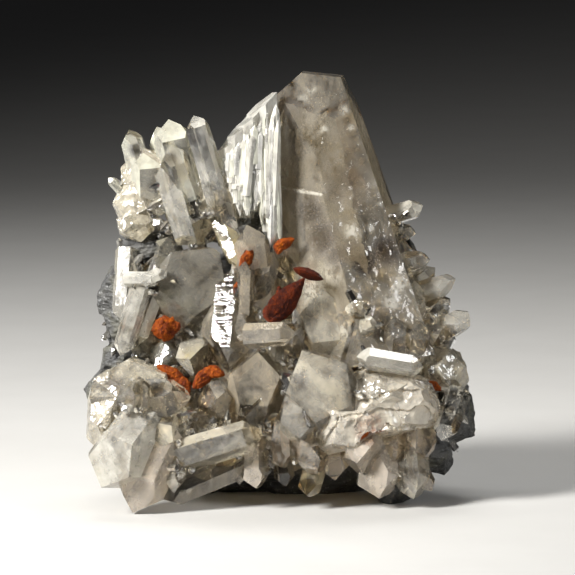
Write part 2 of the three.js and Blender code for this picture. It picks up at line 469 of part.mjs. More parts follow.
// Iron carbonate: thin blades and lens-shaped discs. size is [long, broad, thick].
const BLADES = [
  { name: 'long_red_blade', pieces: [
    { centre: [1.2, 42.6, 14.4], size: [11.0, 5.0, 1.5], turn: 50, swing: 18, leaf: 0.5 },
    { centre: [-1.0, 40.0, 13.8], size: [5.4, 4.0, 1.4], turn: 14, swing: -16, leaf: 0.3 },
    { centre: [-0.2, 43.6, 13.8], size: [3.4, 1.8, 1.2], turn: 96, swing: 10, leaf: 0.4 },
  ] },
  { name: 'red_lens', pieces: [
    { centre: [5.4, 47.6, 13.4], size: [6.6, 6.0, 2.1], turn: -20, swing: 84 },
  ] },
  { name: 'rust_rosette_left', pieces: [
    { centre: [-22.8, 36.8, 7.6], size: [6.2, 5.4, 1.6], turn: 10, swing: 10 },
    { centre: [-22.4, 36.6, 7.8], size: [5.4, 4.4, 1.5], turn: 70, swing: 50 },
    { centre: [-23.0, 36.9, 7.8], size: [5.2, 4.2, 1.5], turn: -40, swing: -46 },
  ] },
  { name: 'rust_wedge_left', pieces: [
    { centre: [-21.4, 27.4, 11.4], size: [7.8, 3.4, 1.5], turn: -34, swing: 14 },
    { centre: [-19.0, 25.4, 11.8], size: [4.4, 3.0, 1.4], turn: -74, swing: -24 },
  ] },
  { name: 'rust_wedge_right', pieces: [
    { centre: [-15.2, 27.2, 12.2], size: [6.6, 3.2, 1.5], turn: 46, swing: 12 },
    { centre: [-13.2, 28.2, 12.4], size: [4.6, 2.8, 1.4], turn: -16, swing: -22 },
  ] },
  { name: 'rust_blade_upper', pieces: [
    { centre: [-6.8, 50.6, 9.6], size: [6.0, 2.6, 1.2], turn: 62, swing: 20 },
  ] },
  { name: 'rust_blade_middle', pieces: [
    { centre: [0.6, 53.6, 8.4], size: [4.8, 2.6, 1.3], turn: 26, swing: 24 },
    { centre: [-0.4, 53.0, 8.2], size: [3.2, 2.4, 1.2], turn: 84, swing: -14 },
  ] },
  { name: 'rust_blade_small', pieces: [
    { centre: [-8.8, 45.0, 10.6], size: [2.8, 1.4, 1.0], turn: 72, swing: 10 },
  ] },
  { name: 'rust_strip_lower_right', pieces: [
    { centre: [16.4, 16.3, 16.4], size: [5.2, 2.0, 1.2], turn: 42, swing: 10 },
    { centre: [19.0, 17.2, 15.8], size: [4.2, 2.0, 1.2], turn: -8, swing: -12 },
  ] },
  { name: 'rust_blade_right', pieces: [
    { centre: [30.4, 25.4, 10.8], size: [3.6, 1.9, 1.1], turn: -32, swing: 8 },
  ] },
];

// One blade: a leaf outline, thick in the middle and sharp at the rim
function bladeCorners({ centre, size, turn, swing, leaf = 0.12 }, grow) {
  const [long, broad, thick] = size.map((length) => length / 2 + grow);
  const corners = [];
  for (let step = 0; step < BLADE_CORNERS; step++) {
    const angle = (step / BLADE_CORNERS) * 2 * Math.PI;
    const along = Math.cos(angle) * long;
    const aside = Math.sin(angle) * broad * (1 - leaf * Math.cos(angle));
    corners.push(new THREE.Vector3(along, aside, 0));
    const [inAlong, inAside] = [along * BLADE_SHOULDER, aside * BLADE_SHOULDER];
    corners.push(new THREE.Vector3(inAlong, inAside, thick * BLADE_SHOULDER_THICK));
    corners.push(new THREE.Vector3(inAlong, inAside, -thick * BLADE_SHOULDER_THICK));
  }
  corners.push(new THREE.Vector3(0, 0, thick), new THREE.Vector3(0, 0, -thick));
  const turned = new THREE.Matrix4().makeRotationZ(rad(turn));
  const swung = new THREE.Matrix4().makeRotationX(rad(swing));
  const moved = new THREE.Matrix4().makeTranslation(...centre);
  const whole = moved.multiply(turned).multiply(swung);
  return corners.map((corner) => corner.applyMatrix4(whole));
}

function bladeSolid({ pieces }, grow = 0) {
  return wholeBody(joined(pieces.map((piece) => toSolid(new ConvexGeometry(bladeCorners(piece, grow))))));
}

// From the front reading to the standing piece: millimetres, up along Z, resting on Z = 0
const standing = new THREE.Matrix4().makeTranslation(-MIDDLE_ACROSS, MIDDLE_DEPTH, -REST_LEVEL)
  .multiply(new THREE.Matrix4().makeRotationX(rad(90 - LOOK_DOWN)))
  .premultiply(new THREE.Matrix4().makeScale(SCALE, SCALE, SCALE));
const toReading = standing.clone().invert();

// Everything below the resting level is cut away
function restingPlane(grow = 0) {
  const onFloor = new THREE.Vector3(0, 0, -grow / SCALE).applyMatrix4(toReading);
  const below = new THREE.Vector3(0, 0, -1).transformDirection(toReading);
  return planeAt(below, onFloor);
}

function quartzSolid() {
  const specs = [UPPER_LEFT, LEFT_SIDE, CENTRE_LEFT, CENTRE_RIGHT, RIGHT_EDGE, LOWER_LEFT, BOTTOM, BACK].flat();
  const crystals = specs.map((spec, index) => solidInside(crystalPlanes({ ...spec, key: index + 1 })));
  const growths = PARALLEL_GROWTHS.map((growth, index) => solidInside(parallelGrowth(growth, index)));
  const lumps = MILKY_LUMPS.map((spec) => solidInside(lumpPlanes(spec)));
  const ledges = SHELL_LEDGES.map((spec, index) =>
    solidInside(lumpPlanes({ ...spec, ...LEDGE_SHAPE, key: LEDGE_KEY + index })));
  return joined([greatCrystal(), ...crystals, ...growths, ...lumps, ...ledges]);
}

function rockSolid(grow = 0) {
  return joined(ROCK_LUMPS.map((spec) => solidInside(grown([...lumpPlanes(spec), restingPlane()], grow))));
}

function toNode(name, solid, material) {
  const { vertProperties, triVerts } = solid.getMesh();
  const geometry = new THREE.BufferGeometry();
  geometry.setAttribute('position', new THREE.BufferAttribute(new Float32Array(vertProperties), 3));
  geometry.setIndex(new THREE.BufferAttribute(new Uint32Array(triVerts), 1));
  geometry.applyMatrix4(standing);
  const flat = geometry.toNonIndexed();
  flat.computeVertexNormals();
  const node = new THREE.Mesh(flat, material);
  node.name = name;
  return node;
}

function quartzFinish() {
  return new THREE.MeshStandardMaterial({
    name: 'quartz', color: 0xcbc3b2, roughness: 0.12, metalness: 0, transparent: true, opacity: 0.75,
  });
}

function rockFinish() {
  return new THREE.MeshStandardMaterial({ name: 'dark_rock', color: 0x3a3b3c, roughness: 0.7, metalness: 0 });
}

function ironFinish(name) {
  const dark = name.includes('red');
  return new THREE.MeshStandardMaterial({
    name: dark ? 'dark_red_iron_carbonate' : 'rusty_iron_carbonate',
    color: dark ? 0x4a0f06 : 0x9c3208,
    roughness: 0.6,
    metalness: 0,
  });
}

const cluster = new THREE.Group();
cluster.name = 'quartz_specimen';

const bladeSockets = joined(BLADES.map((blade) => bladeSolid(blade, CLEARANCE / SCALE)));
const rock = wholeBody(rockSolid().subtract(bladeSockets));
const quartzGrown = quartzSolid().subtract(rockSolid(CLEARANCE / SCALE)).subtract(bladeSockets);
const quartz = wholeBody(quartzGrown);

cluster.add(toNode('quartz_cluster', quartz, quartzFinish()));
cluster.add(toNode('host_rock', rock, rockFinish()));
for (const blade of BLADES) {
  cluster.add(toNode(blade.name, bladeSolid(blade), ironFinish(blade.name)));
}

export default cluster;
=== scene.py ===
# %% [markdown]
# # A quartz cluster in Blender
# The real object is a hand-sized group of intergrown quartz crystals around one great tapering crystal,
# with a scrap of dark host rock behind and rust-red iron carbonate blades in its hollows.
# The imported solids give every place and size. Here they get their looks: clear and milky quartz with
# growth lines and stains, ledges where it broke, glittering rock, small crystals in the crevices, white
# threads, veils inside the great crystal, and rusty blades.

# %% The frame
import json
import math
import bmesh
import bpy
import numpy as np
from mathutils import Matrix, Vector
from mathutils.bvhtree import BVHTree

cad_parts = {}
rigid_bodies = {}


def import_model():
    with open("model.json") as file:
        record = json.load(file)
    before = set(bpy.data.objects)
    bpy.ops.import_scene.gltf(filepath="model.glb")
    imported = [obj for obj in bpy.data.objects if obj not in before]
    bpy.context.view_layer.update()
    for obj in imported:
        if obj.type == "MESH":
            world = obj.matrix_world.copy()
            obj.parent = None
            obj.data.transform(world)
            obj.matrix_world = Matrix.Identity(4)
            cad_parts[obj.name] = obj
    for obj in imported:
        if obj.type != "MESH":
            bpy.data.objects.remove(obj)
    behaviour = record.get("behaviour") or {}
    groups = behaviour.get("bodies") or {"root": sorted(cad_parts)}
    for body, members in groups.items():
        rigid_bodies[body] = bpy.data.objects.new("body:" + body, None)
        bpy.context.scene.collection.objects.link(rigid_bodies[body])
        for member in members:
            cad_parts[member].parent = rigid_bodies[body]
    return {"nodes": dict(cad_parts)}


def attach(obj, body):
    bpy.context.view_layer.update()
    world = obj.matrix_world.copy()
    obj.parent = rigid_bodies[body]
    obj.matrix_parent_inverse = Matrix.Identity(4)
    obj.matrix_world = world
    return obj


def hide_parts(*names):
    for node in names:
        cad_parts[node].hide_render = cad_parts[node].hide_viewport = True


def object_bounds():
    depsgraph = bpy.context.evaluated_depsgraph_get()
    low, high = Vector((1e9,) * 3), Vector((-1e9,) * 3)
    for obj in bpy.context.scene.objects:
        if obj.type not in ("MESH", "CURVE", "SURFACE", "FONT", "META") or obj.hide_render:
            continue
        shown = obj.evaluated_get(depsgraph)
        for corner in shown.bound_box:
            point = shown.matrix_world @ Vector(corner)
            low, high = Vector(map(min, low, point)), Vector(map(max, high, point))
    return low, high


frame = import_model()
solid_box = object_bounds()
print("box of the solids, metres:", [tuple(round(value, 4) for value in corner) for corner in solid_box])

# %% [markdown]
# ## From a front reading to the standing piece
# Places are read off the front of the real piece in millimetres: across to the right, up, and toward the
# viewer, who looks down on it by eight degrees. One turn, one shift and one scale stand the piece up.
# It could also be done with a parent object, but finished pieces keep their place in their own mesh.

# %% Reading to standing
MM = 0.001
TALL, TALL_AS_READ = 85, 84.26
SCALE = TALL / TALL_AS_READ
LOOK_DOWN = math.radians(8)
SHIFT = np.array([0.37, -6.01, -2.8])
LEAN = np.array([
    [1, 0, 0],
    [0, math.sin(LOOK_DOWN), -math.cos(LOOK_DOWN)],
    [0, math.cos(LOOK_DOWN), math.sin(LOOK_DOWN)],
])


def standing(points):
    """Leans reading points back, shifts them, scales them and turns millimetres into metres."""
    return (np.asarray(points, float) @ LEAN.T + SHIFT) * SCALE * MM


def to_reading(points):
    """The way back: metres of the standing piece to millimetres of the front reading."""
    return (np.asarray(points, float) / MM / SCALE - SHIFT) @ LEAN


print("the great crystal's tip stands at", standing((8.4, 87.3, 1.2)).round(4))

# %% [markdown]
# ## Numbers that look random but are not
# Nature needs irregularity, and a script needs the same result on each run. A hash of whole-number
# lattice corners, blended smoothly between them, gives a noise that any array of points can be put through.
# Blender's own noise textures do this in materials; this one moves points.


# %% Noise for shapes
def lattice_hash(cells, seed):
    """One number from 0 to 1 for each whole-number cell: the fraction of a big sine of its mixed coordinates."""
    mixed = cells[..., 0] * 127.1 + cells[..., 1] * 311.7 + cells[..., 2] * 74.7 + seed * 53.3
    value = np.sin(mixed) * 43758.5453
    return value - np.floor(value)


def smooth_noise(points, size, seed=0):
    """From -1 to 1: the eight corner hashes of a point's cell, mixed by a smooth step along each axis."""
    places = np.asarray(points, float) / size
    cell = np.floor(places)
    part = places - cell
    ease = part * part * (3 - 2 * part)
    total = np.zeros(places.shape[:-1])
    for corner in np.ndindex(2, 2, 2):
        weight = np.prod(np.where(corner, ease, 1 - ease), axis=-1)
        total += weight * lattice_hash(cell + corner, seed)
    return total * 2 - 1


def layered_noise(points, size, layers=3, seed=0):
    """Sum of smooth noises, each half as coarse and half as strong as the last."""
    return sum(smooth_noise(points, size / 2**layer, seed + layer) / 2**layer for layer in range(layers))


def grain(key):
    """A repeatable number from 0 to 1 for a whole-number key."""
    value = np.sin(np.asarray(key, float) * 12.9898 + 4.1) * 43758.5453
    return value - np.floor(value)


print("five grains:", grain(np.arange(5)).round(2))

# %% [markdown]
# ## Crystals as planes
# A quartz crystal is bounded by flat faces: six sides and six faces of a point. Each is a plane, so the
# tables below hold only a root, a tip and a width for each crystal, in the reading's millimetres.
# The solids were made from the same tables. Here the planes tell which crystal each face of the cluster
# belongs to, so that growth lines can run across each crystal in its own direction.



# %% The crystals' places
def crystal(root, tip, wide, **more):
    """One row of the tables: where a crystal starts and ends, its width, and what else sets it apart."""
    return dict(root=root, tip=tip, wide=wide, **more)


def lump(centre, half, faces, key, **more):
    """A milky or broken lump: its middle, half its width, height and depth, and how many faces it has."""
    return dict(centre=centre, half=half, faces=faces, key=key, **more)


def blade(centre, size, turn, swing, leaf=0.12):
    """A leaf of iron carbonate: its middle and size, its two turns, and how narrow one end is."""
    return dict(centre=centre, size=size, turn=turn, swing=swing, leaf=leaf)


UPPER_LEFT = [
    crystal((-27.4, 64.4, -1), (-30.4, 76.4, 0), 4.8, roll=24),
    crystal((-17.6, 56.4, 0), (-22.4, 78.6, 1.5), 8.2, deep=6.4, roll=4, lead=0, lead_cut=0.12),
    crystal((-18.6, 62.4, 2.5), (-22.2, 73.2, 5), 5.4, roll=8, lead=0, lead_cut=0.2),
    crystal((-9.8, 54.0, 3), (-17.4, 79.0, 5.5), 5.1, roll=14),
    crystal((-13.0, 60.0, 2.6), (-8.1, 49.2, 7), 4.0, roll=20),
    crystal((-31.4, 63.6, 0), (-34.4, 66.8, 0.6), 1.8),
    crystal((-23.0, 68.0, 2), (-18.9, 54.3, 8.4), 5.0, roll=34, broken=True),
    crystal((-26.4, 60.0, -1), (-26.8, 72.4, 3), 6.4, roll=12, lead=2),
    crystal((-18.6, 58.0, -2), (-24.8, 76.8, -2), 5.2, roll=20),
]

LEFT_SIDE = [
    crystal((-22.6, 39.9, -1.3), (-12.6, 52.0, 11.1), 13.6, deep=13, roll=4, lead=0, lead_cut=0.52),
    crystal((-27.4, 43.0, -3), (-20.8, 55.4, 1.5), 6.6, roll=10),
    crystal((-30.8, 46.6, 7), (-25.2, 46.6, 9.4), 2.9, roll=10, broken=True),
    crystal((-27.2, 46.2, 8.6), (-22.6, 48.2, 10.2), 2.7, roll=24),
    crystal((-27.2, 47.2, 5.5), (-31.8, 31.4, 10), 4.0, roll=8),
    crystal((-25.0, 45.8, 3.5), (-29.4, 33.0, 7.4), 4.4, roll=28),
    crystal((-30.8, 52.4, 1), (-31.8, 38.6, 5.4), 4.4, roll=16),
    crystal((-22.4, 44.0, -6), (-20.4, 41.0, 5.6), 9.4, roll=22, lead=3),
    crystal((-28.4, 38.0, -4), (-26.4, 32.6, 7), 8.0, roll=6, lead=0),
    crystal((-19.6, 36.0, -6), (-18.2, 37.6, 5.8), 8.4, roll=30, lead=2),
    crystal((-16.4, 33.0, -2), (-17.4, 30.4, 11.4), 7.8, roll=12, lead=4, lead_cut=0.2),
    crystal((-22.6, 34.0, 0), (-24.0, 29.2, 9.5), 5.6, roll=20, lead=0),
]

CENTRE_LEFT = [
    crystal((-4.2, 41.0, 2), (-6.2, 57.8, 8.4), 7.2, roll=18, lead=2, lead_cut=0.24),
    crystal((-3.4, 50.0, 3), (-4.8, 42.8, 10.4), 6.0, roll=2, lead=5),
    crystal((-9.4, 46.0, 4), (-11.4, 27.8, 12), 8.4, roll=22, lead=1),
    crystal((-12.0, 41.0, 4), (-13.6, 33.4, 11.6), 5.6, roll=10, lead=0),
    crystal((-7.8, 34.0, 8), (-7.2, 49.8, 10.6), 4.6, roll=6),
    crystal((-8.6, 40.0, 7), (-5.6, 34.4, 13.4), 5.4, roll=16, lead=2),
    crystal((-6.8, 35.4, 13.6), (2.8, 36.0, 17.2), 4.5, roll=8),
    crystal((-6.4, 17.9, 5.4), (-4.4, 31.9, 16.5), 10.4, deep=10, roll=6, lead=0, lead_cut=0.42),
    crystal((-3.6, 25.0, 2), (-5.6, 18.6, 15.6), 9.2, roll=14, lead=4),
    crystal((-12.0, 23.6, 2), (-13.6, 22.2, 16.4), 7.6, roll=10, lead=1, lead_cut=0.2),
    crystal((-17.0, 21.0, 4), (-18.6, 13.4, 14), 5.0, roll=24),
    crystal((-15.6, 26.0, 0), (-15.4, 16.6, 11.6), 5.6, roll=2, lead=3),
    crystal((1.6, 33.0, 4), (2.4, 37.2, 13.0), 6.0, roll=18, lead=0),
]

CENTRE_RIGHT = [
    crystal((9.6, 26.0, 0), (8.2, 44.4, 12.6), 9.8, deep=9, roll=2, lead=0, lead_cut=0.5),
    crystal((12.2, 18.4, 8.7), (4.4, 32.0, 20.6), 13.0, deep=12.6, roll=-6, lead=0, lead_cut=0.5),
    crystal((4.8, 28.0, 6), (2.6, 14.2, 18), 8.2, roll=22, lead=2),
    crystal((11.0, 30.0, 4), (10.4, 20.6, 17), 8.4, roll=12, lead=4),
    crystal((12.6, 29.0, 10.6), (15.4, 39.0, 13.4), 2.2, roll=18),
    crystal((15.4, 31.0, 10), (17.4, 38.6, 12.6), 3.0, roll=4),
    crystal((22.2, 29.0, 9), (22.8, 39.4, 13), 4.8, roll=26, lead=0),
    crystal((18.4, 29.0, 8), (18.8, 37.8, 11), 5.2, roll=8),
    crystal((26.2, 29.0, 6), (27.4, 38.4, 11.4), 5.4, roll=12),
    crystal((14.9, 31.2, 16.4), (27.9, 29.1, 15.0), 4.1, roll=6, both=True),
    crystal((24.0, 34.0, 1), (27.0, 43.8, 3), 5.4, roll=18),
]

RIGHT_EDGE = [
    crystal((19.6, 58.6, -3), (28.2, 61.2, 1.6), 4.1, roll=22),
    crystal((22.2, 56.6, -3), (26.8, 55.6, 1), 3.2, roll=6),
    crystal((24.0, 50.0, -3), (29.6, 50.4, 1.4), 3.6, roll=12),
    crystal((26.4, 43.6, -3), (34.8, 46.2, 3), 4.6, roll=26, lead=1, lead_cut=0.3),
    crystal((28.6, 33.6, -2), (37.6, 39.8, 4), 4.8, roll=18, lead=5),
    crystal((25.4, 45.0, -4), (30.8, 48.9, 0), 3.2, roll=4),
    crystal((27.4, 38.4, -4), (33.8, 42.4, 1), 4.4, roll=20),
    crystal((27.0, 34.0, 0), (31.4, 36.6, 8), 6.0, roll=10, lead=0),
    crystal((35.2, 24.2, 7), (31.8, 14.6, 12.6), 4.8, roll=14),
]

LOWER_LEFT = [
    crystal((-36.4, 23.0, 10.6), (-17.8, 23.2, 17), 9.0, deep=6.4, roll=28),
    crystal((-28.4, 19.4, 14), (-27.9, 27.3, 19.2), 4.6, roll=12),
    crystal((-27.0, 21.0, 17), (-26.8, 25.9, 20.6), 1.9, roll=8),
    crystal((-23.6, 22.4, 8), (-35.4, 6.0, 23.4), 11.0, deep=10.4, roll=20, lead=0, lead_cut=0.2),
    crystal((-22.6, 15.4, 12), (-29.2, 0.6, 19.6), 9.4, deep=8.6, roll=10, lead=0, lead_cut=0.16),
    crystal((-20.6, 17.4, 11), (-20.9, 4.6, 17.6), 4.0, roll=28),
    crystal((-21.4, 21.4, 10), (-23.6, 13.6, 18.4), 4.8, roll=6, lead=0),
    crystal((-23.0, 16.0, 9), (-23.8, 6.4, 17), 5.4, roll=18),
    crystal((-22.4, 10.6, 12.6), (-3.6, 16.6, 18.6), 6.4, roll=4, lead=3, lead_cut=0.1),
    crystal((-5.0, 11.2, 10), (-23.6, 3.2, 16.4), 5.4, roll=20),
]

BOTTOM = [
    crystal((-5.2, 14.4, 9), (-5.0, 5.4, 15.4), 5.4, roll=14),
    crystal((-8.4, 13.6, 8), (-8.2, 6.0, 13), 4.8, roll=2),
    crystal((-0.6, 18.0, 9), (0.2, 9.4, 16.4), 4.0, roll=22),
    crystal((0.2, 13.0, 7), (0.9, 5.6, 12), 4.0, roll=8),
    crystal((4.6, 15.4, 6), (7.0, 9.8, 19), 6.0, roll=18, lead=1),
    crystal((7.4, 12.0, 8), (5.3, 3.9, 15), 5.0, roll=28),
    crystal((10.4, 17.0, 6), (10.6, 6.8, 12.4), 6.0, roll=6),
    crystal((17.0, 18.0, 2), (15.8, 9.6, 17.6), 8.4, roll=12, lead=4, lead_cut=0.24),
    crystal((19.6, 16.0, 4), (18.9, 3.6, 15.4), 8.8, roll=24, lead=0, lead_cut=0.2),
    crystal((25.2, 15.0, 4), (26.0, 3.4, 14.2), 7.4, roll=14, lead=1, lead_cut=0.24),
    crystal((26.4, 10.6, 6), (29.8, 4.6, 11), 3.6, roll=8),
    crystal((26.0, 19.0, 2), (28.2, 12.2, 13.8), 6.6, roll=26, lead=5),
    crystal((22.0, 19.6, 2), (22.2, 10.6, 12.6), 6.0, roll=18),
]

BACK = [
    crystal((-17.0, 38.0, -17), (-24.0, 51.6, -24), 7.6, roll=12),
    crystal((-8.0, 40.0, -17), (-9.0, 55.0, -22), 6.4, roll=20),
    crystal((-18.0, 34.0, -18), (-30.0, 36.0, -25), 5.4, roll=6),
    crystal((20.0, 34.0, -16), (30.0, 40.4, -21), 6.4, roll=24),
    crystal((20.0, 28.0, -18), (28.0, 24.6, -25), 5.2, roll=16),
    crystal((9.0, 38.0, -18), (12.0, 45.0, -28), 5.8, roll=4),
    crystal((-4.0, 37.0, -19), (-3.0, 43.6, -28.4), 6.6, roll=28),
    crystal((-13.0, 34.0, -18), (-14.6, 28.6, -27.6), 7.0, roll=10),
    crystal((4.0, 38.0, -18), (3.6, 27.4, -27.4), 5.4, roll=22),
]

MILKY_LUMPS = [
    lump((-29.0, 62.0, -1), (4.4, 6.4, 4.6), 16, 3),
    lump((-29.2, 57.2, 1), (4.0, 2.9, 4.2), 14, 5),
    lump((-26.6, 66.8, -0.6), (5.4, 5.4, 4.4), 18, 8),
    lump((-17.4, 60.4, -1.4), (6.6, 7.0, 4.4), 14, 9),
    lump((-34.4, 20.8, 11), (4.2, 9.0, 5.6), 18, 12, turn=-14),
    lump((-28.8, 24.0, 10), (8.4, 7.0, 5.4), 16, 13, turn=-10),
    lump((-24.0, 17.0, 10), (6.4, 7.4, 5.0), 16, 14),
    lump((21.2, 22.2, 9.4), (11.2, 6.6, 6.8), 20, 21, rough=0.1, turn=-6),
    lump((11.8, 19.0, 11.4), (6.6, 6.2, 6.2), 18, 22, rough=0.12, turn=30),
    lump((32.4, 28.8, 4), (4.4, 5.4, 5.2), 18, 25, turn=20),
    lump((29.6, 36.6, -1), (5.2, 5.6, 4.6), 16, 26),
    lump((25.8, 41.0, 1), (3.2, 6.0, 4.6), 14, 27, turn=14),
    lump((15.4, 40.9, 14), (1.9, 1.9, 1.7), 24, 31, rough=0.04),
    lump((13.9, 40.5, 14.4), (1.2, 1.2, 1.1), 20, 32, rough=0.04),
    lump((17.2, 37.4, 13.6), (1.7, 2.0, 1.6), 20, 33, rough=0.06),
    lump((-4.0, 28.0, 0), (14, 14, 7), 11, 35),
    lump((12.0, 24.0, 0), (15, 12, 7), 11, 36),
    lump((-14.0, 14.0, 8), (12, 5.6, 5), 11, 37),
    lump((4.0, 15.0, 8), (9, 5.4, 5), 11, 38),
    lump((-19.0, 34.0, -2), (10, 11, 6), 11, 39),
    lump((6.0, 40.0, -18.4), (12, 8.4, 5.4), 18, 41),
    lump((-13.0, 36.6, -19), (11.4, 8.4, 4.8), 18, 42),
    lump((20.0, 31.0, -17), (9, 8, 5.4), 16, 43),
]

SHELL_LEDGES = [
    dict(centre=(18.2, 20.8, 12.2), half=(10.4, 5.6, 5.0), turn=14),
    dict(centre=(20.6, 23.6, 11.2), half=(9.2, 5.8, 5.2), turn=-4),
    dict(centre=(24.4, 22.4, 11.6), half=(7.0, 5.2, 5.2), turn=-16),
    dict(centre=(14.0, 17.6, 13.0), half=(7.6, 4.2, 5.0), turn=34),
]

PARALLEL_GROWTHS = [
    dict(across=-4.0, top=79.4, foot=63.6, toward=3.2, wide=5.0),
    dict(across=-6.4, top=77.2, foot=60.0, toward=4.4, wide=3.6),
    dict(across=-8.4, top=75.2, foot=58.8, toward=3.4, wide=3.8),
    dict(across=-10.2, top=72.6, foot=60.8, toward=2.2, wide=3.8),
    dict(across=-2.4, top=71.6, foot=54.6, toward=5.4, wide=3.2),
    dict(across=-5.2, top=73.6, foot=64.6, toward=5.0, wide=2.2),
    dict(across=-7.2, top=74.0, foot=58.6, toward=5.2, wide=1.8),
    dict(across=-9.4, top=71.6, foot=61.4, toward=4.4, wide=2.2),
    dict(across=-6.6, top=73.4, foot=62.0, toward=0.6, wide=9.4),
]

GREAT_SIDES = [
    dict(turn=82, lean=10.9, point=(28.0, 44.0, -4)),
    dict(turn=22, lean=11, point=(8.2, 63.8, 9)),
    dict(turn=-38, lean=4, point=(8.2, 63.8, 9)),
    dict(turn=-98, lean=5.7, point=(-2.0, 66.0, 0)),
    dict(turn=-158, lean=6.0, point=(0, 60.0, -15)),
    dict(turn=142, lean=6.0, point=(18.0, 50.0, -17)),
    dict(turn=-72, lean=14.5, point=(-1.6, 65.4, 1.2)),
]

GREAT_TOP = [
    dict(faces=(-0.667, 0.745, 0.02), point=(4.0, 87.8, 1)),
    dict(faces=(-0.1, 0.34, 0.94), point=(8.4, 87.2, 1.6)),
    dict(faces=(0.1, 0.985, 0.13), point=(8.4, 87.3, 1.2)),
    dict(faces=(0.1, 0.78, -0.62), point=(8.4, 88.0, -3.6)),
    dict(faces=(0.86, 0.45, 0.2), point=(13.0, 86.6, 1)),
]

BLADES = {
    "long_red_blade": [
        blade((1.2, 42.6, 14.4), (11.0, 5.0, 1.5), 50, 18, leaf=0.5),
        blade((-1.0, 40.0, 13.8), (5.4, 4.0, 1.4), 14, -16, leaf=0.3),
        blade((-0.2, 43.6, 13.8), (3.4, 1.8, 1.2), 96, 10, leaf=0.4),
    ],
    "red_lens": [
        blade((5.4, 47.6, 13.4), (6.6, 6.0, 2.1), -20, 84),
    ],
    "rust_rosette_left": [
        blade((-22.8, 36.8, 7.6), (6.2, 5.4, 1.6), 10, 10),
        blade((-22.4, 36.6, 7.8), (5.4, 4.4, 1.5), 70, 50),
        blade((-23.0, 36.9, 7.8), (5.2, 4.2, 1.5), -40, -46),
    ],
    "rust_wedge_left": [
        blade((-21.4, 27.4, 11.4), (7.8, 3.4, 1.5), -34, 14),
        blade((-19.0, 25.4, 11.8), (4.4, 3.0, 1.4), -74, -24),
    ],
    "rust_wedge_right": [
        blade((-15.2, 27.2, 12.2), (6.6, 3.2, 1.5), 46, 12),
        blade((-13.2, 28.2, 12.4), (4.6, 2.8, 1.4), -16, -22),
    ],
    "rust_blade_upper": [
        blade((-6.8, 50.6, 9.6), (6.0, 2.6, 1.2), 62, 20),
    ],
    "rust_blade_middle": [
        blade((0.6, 53.6, 8.4), (4.8, 2.6, 1.3), 26, 24),
        blade((-0.4, 53.0, 8.2), (3.2, 2.4, 1.2), 84, -14),
    ],
    "rust_blade_small": [
        blade((-8.8, 45.0, 10.6), (2.8, 1.4, 1.0), 72, 10),
    ],
    "rust_strip_lower_right": [
        blade((16.4, 16.3, 16.4), (5.2, 2.0, 1.2), 42, 10),
        blade((19.0, 17.2, 15.8), (4.2, 2.0, 1.2), -8, -12),
    ],
    "rust_blade_right": [
        blade((30.4, 25.4, 10.8), (3.6, 1.9, 1.1), -32, 8),
    ],
}

CRYSTALS = UPPER_LEFT + LEFT_SIDE + CENTRE_LEFT + CENTRE_RIGHT + RIGHT_EDGE + LOWER_LEFT + BOTTOM + BACK
print(len(CRYSTALS), "small crystals,", len(MILKY_LUMPS), "lumps,", len(BLADES), "groups of iron blades")

# %% Planes of a crystal, a lump and the great crystal
PYRAMID_SLOPE = math.radians(51.8)
CORNER_SHARE = 0.465
GOLDEN_TURN = 137.508
FRONT = np.array([0.0, 0.0, 1.0])
UP = np.array([0.0, 1.0, 0.0])


def unit(vector):
    return np.asarray(vector, float) / np.linalg.norm(vector)


def across_axis(axis):
    """Two directions square to an axis: one to its front and one to its right."""
    guide = UP if abs(axis @ FRONT) > 0.8 else FRONT
    front = unit(guide - axis * (guide @ axis))
    return front, unit(np.cross(axis, front))


def crystal_planes(root, tip, wide, deep=None, roll=0, tilt=1.2, key=1, lead=-1, lead_cut=0.35, broken=False,
                   both=False):
    """Rows of (normal, reach, is a side face) for six sides round the axis and the sloping faces of the point.
    The face named by lead is cut in further than the rest, as on most real crystals."""
    deep = wide if deep is None else deep
    start, end = np.array(root, float), np.array(tip, float)
    axis = unit(end - start)
    front, right = across_axis(axis)
    rows = []
    for side in range(6):
        turn = math.radians(roll + side * 60)
        outward = front * math.cos(turn) + right * math.sin(turn)
        across = math.hypot(math.sin(turn) * wide, math.cos(turn) * deep)
        radius = across * CORNER_SHARE * (0.9 + 0.2 * grain(key * 7 + side))
        lean = math.radians(tilt)
        normal = outward * math.cos(lean) + axis * math.sin(lean)
        rows.append((*normal, normal @ ((start + end) / 2) + radius, 1))
        if broken:
            continue
        small = side % 2 == 1
        spread = 0.12 + 0.3 * grain(key * 11 + side) if small else 0.1 * grain(key * 13 + side)
        cut = -lead_cut if side == lead else spread
        normal = outward * math.sin(PYRAMID_SLOPE) + axis * math.cos(PYRAMID_SLOPE)
        rows.append((*normal, normal @ end + cut * wide * CORNER_SHARE, 0))
        if both:
            normal = outward * math.sin(PYRAMID_SLOPE) - axis * math.cos(PYRAMID_SLOPE)
            rows.append((*normal, normal @ start + (0 if small else spread + 0.2) * wide * CORNER_SHARE, 0))
    if broken:
        normal = unit(axis + right * 0.35 * (grain(key) - 0.5))
        rows.append((*normal, normal @ end, 0))
    if not both:
        rows.append((*-axis, -axis @ start, 0))
    return np.array(rows)


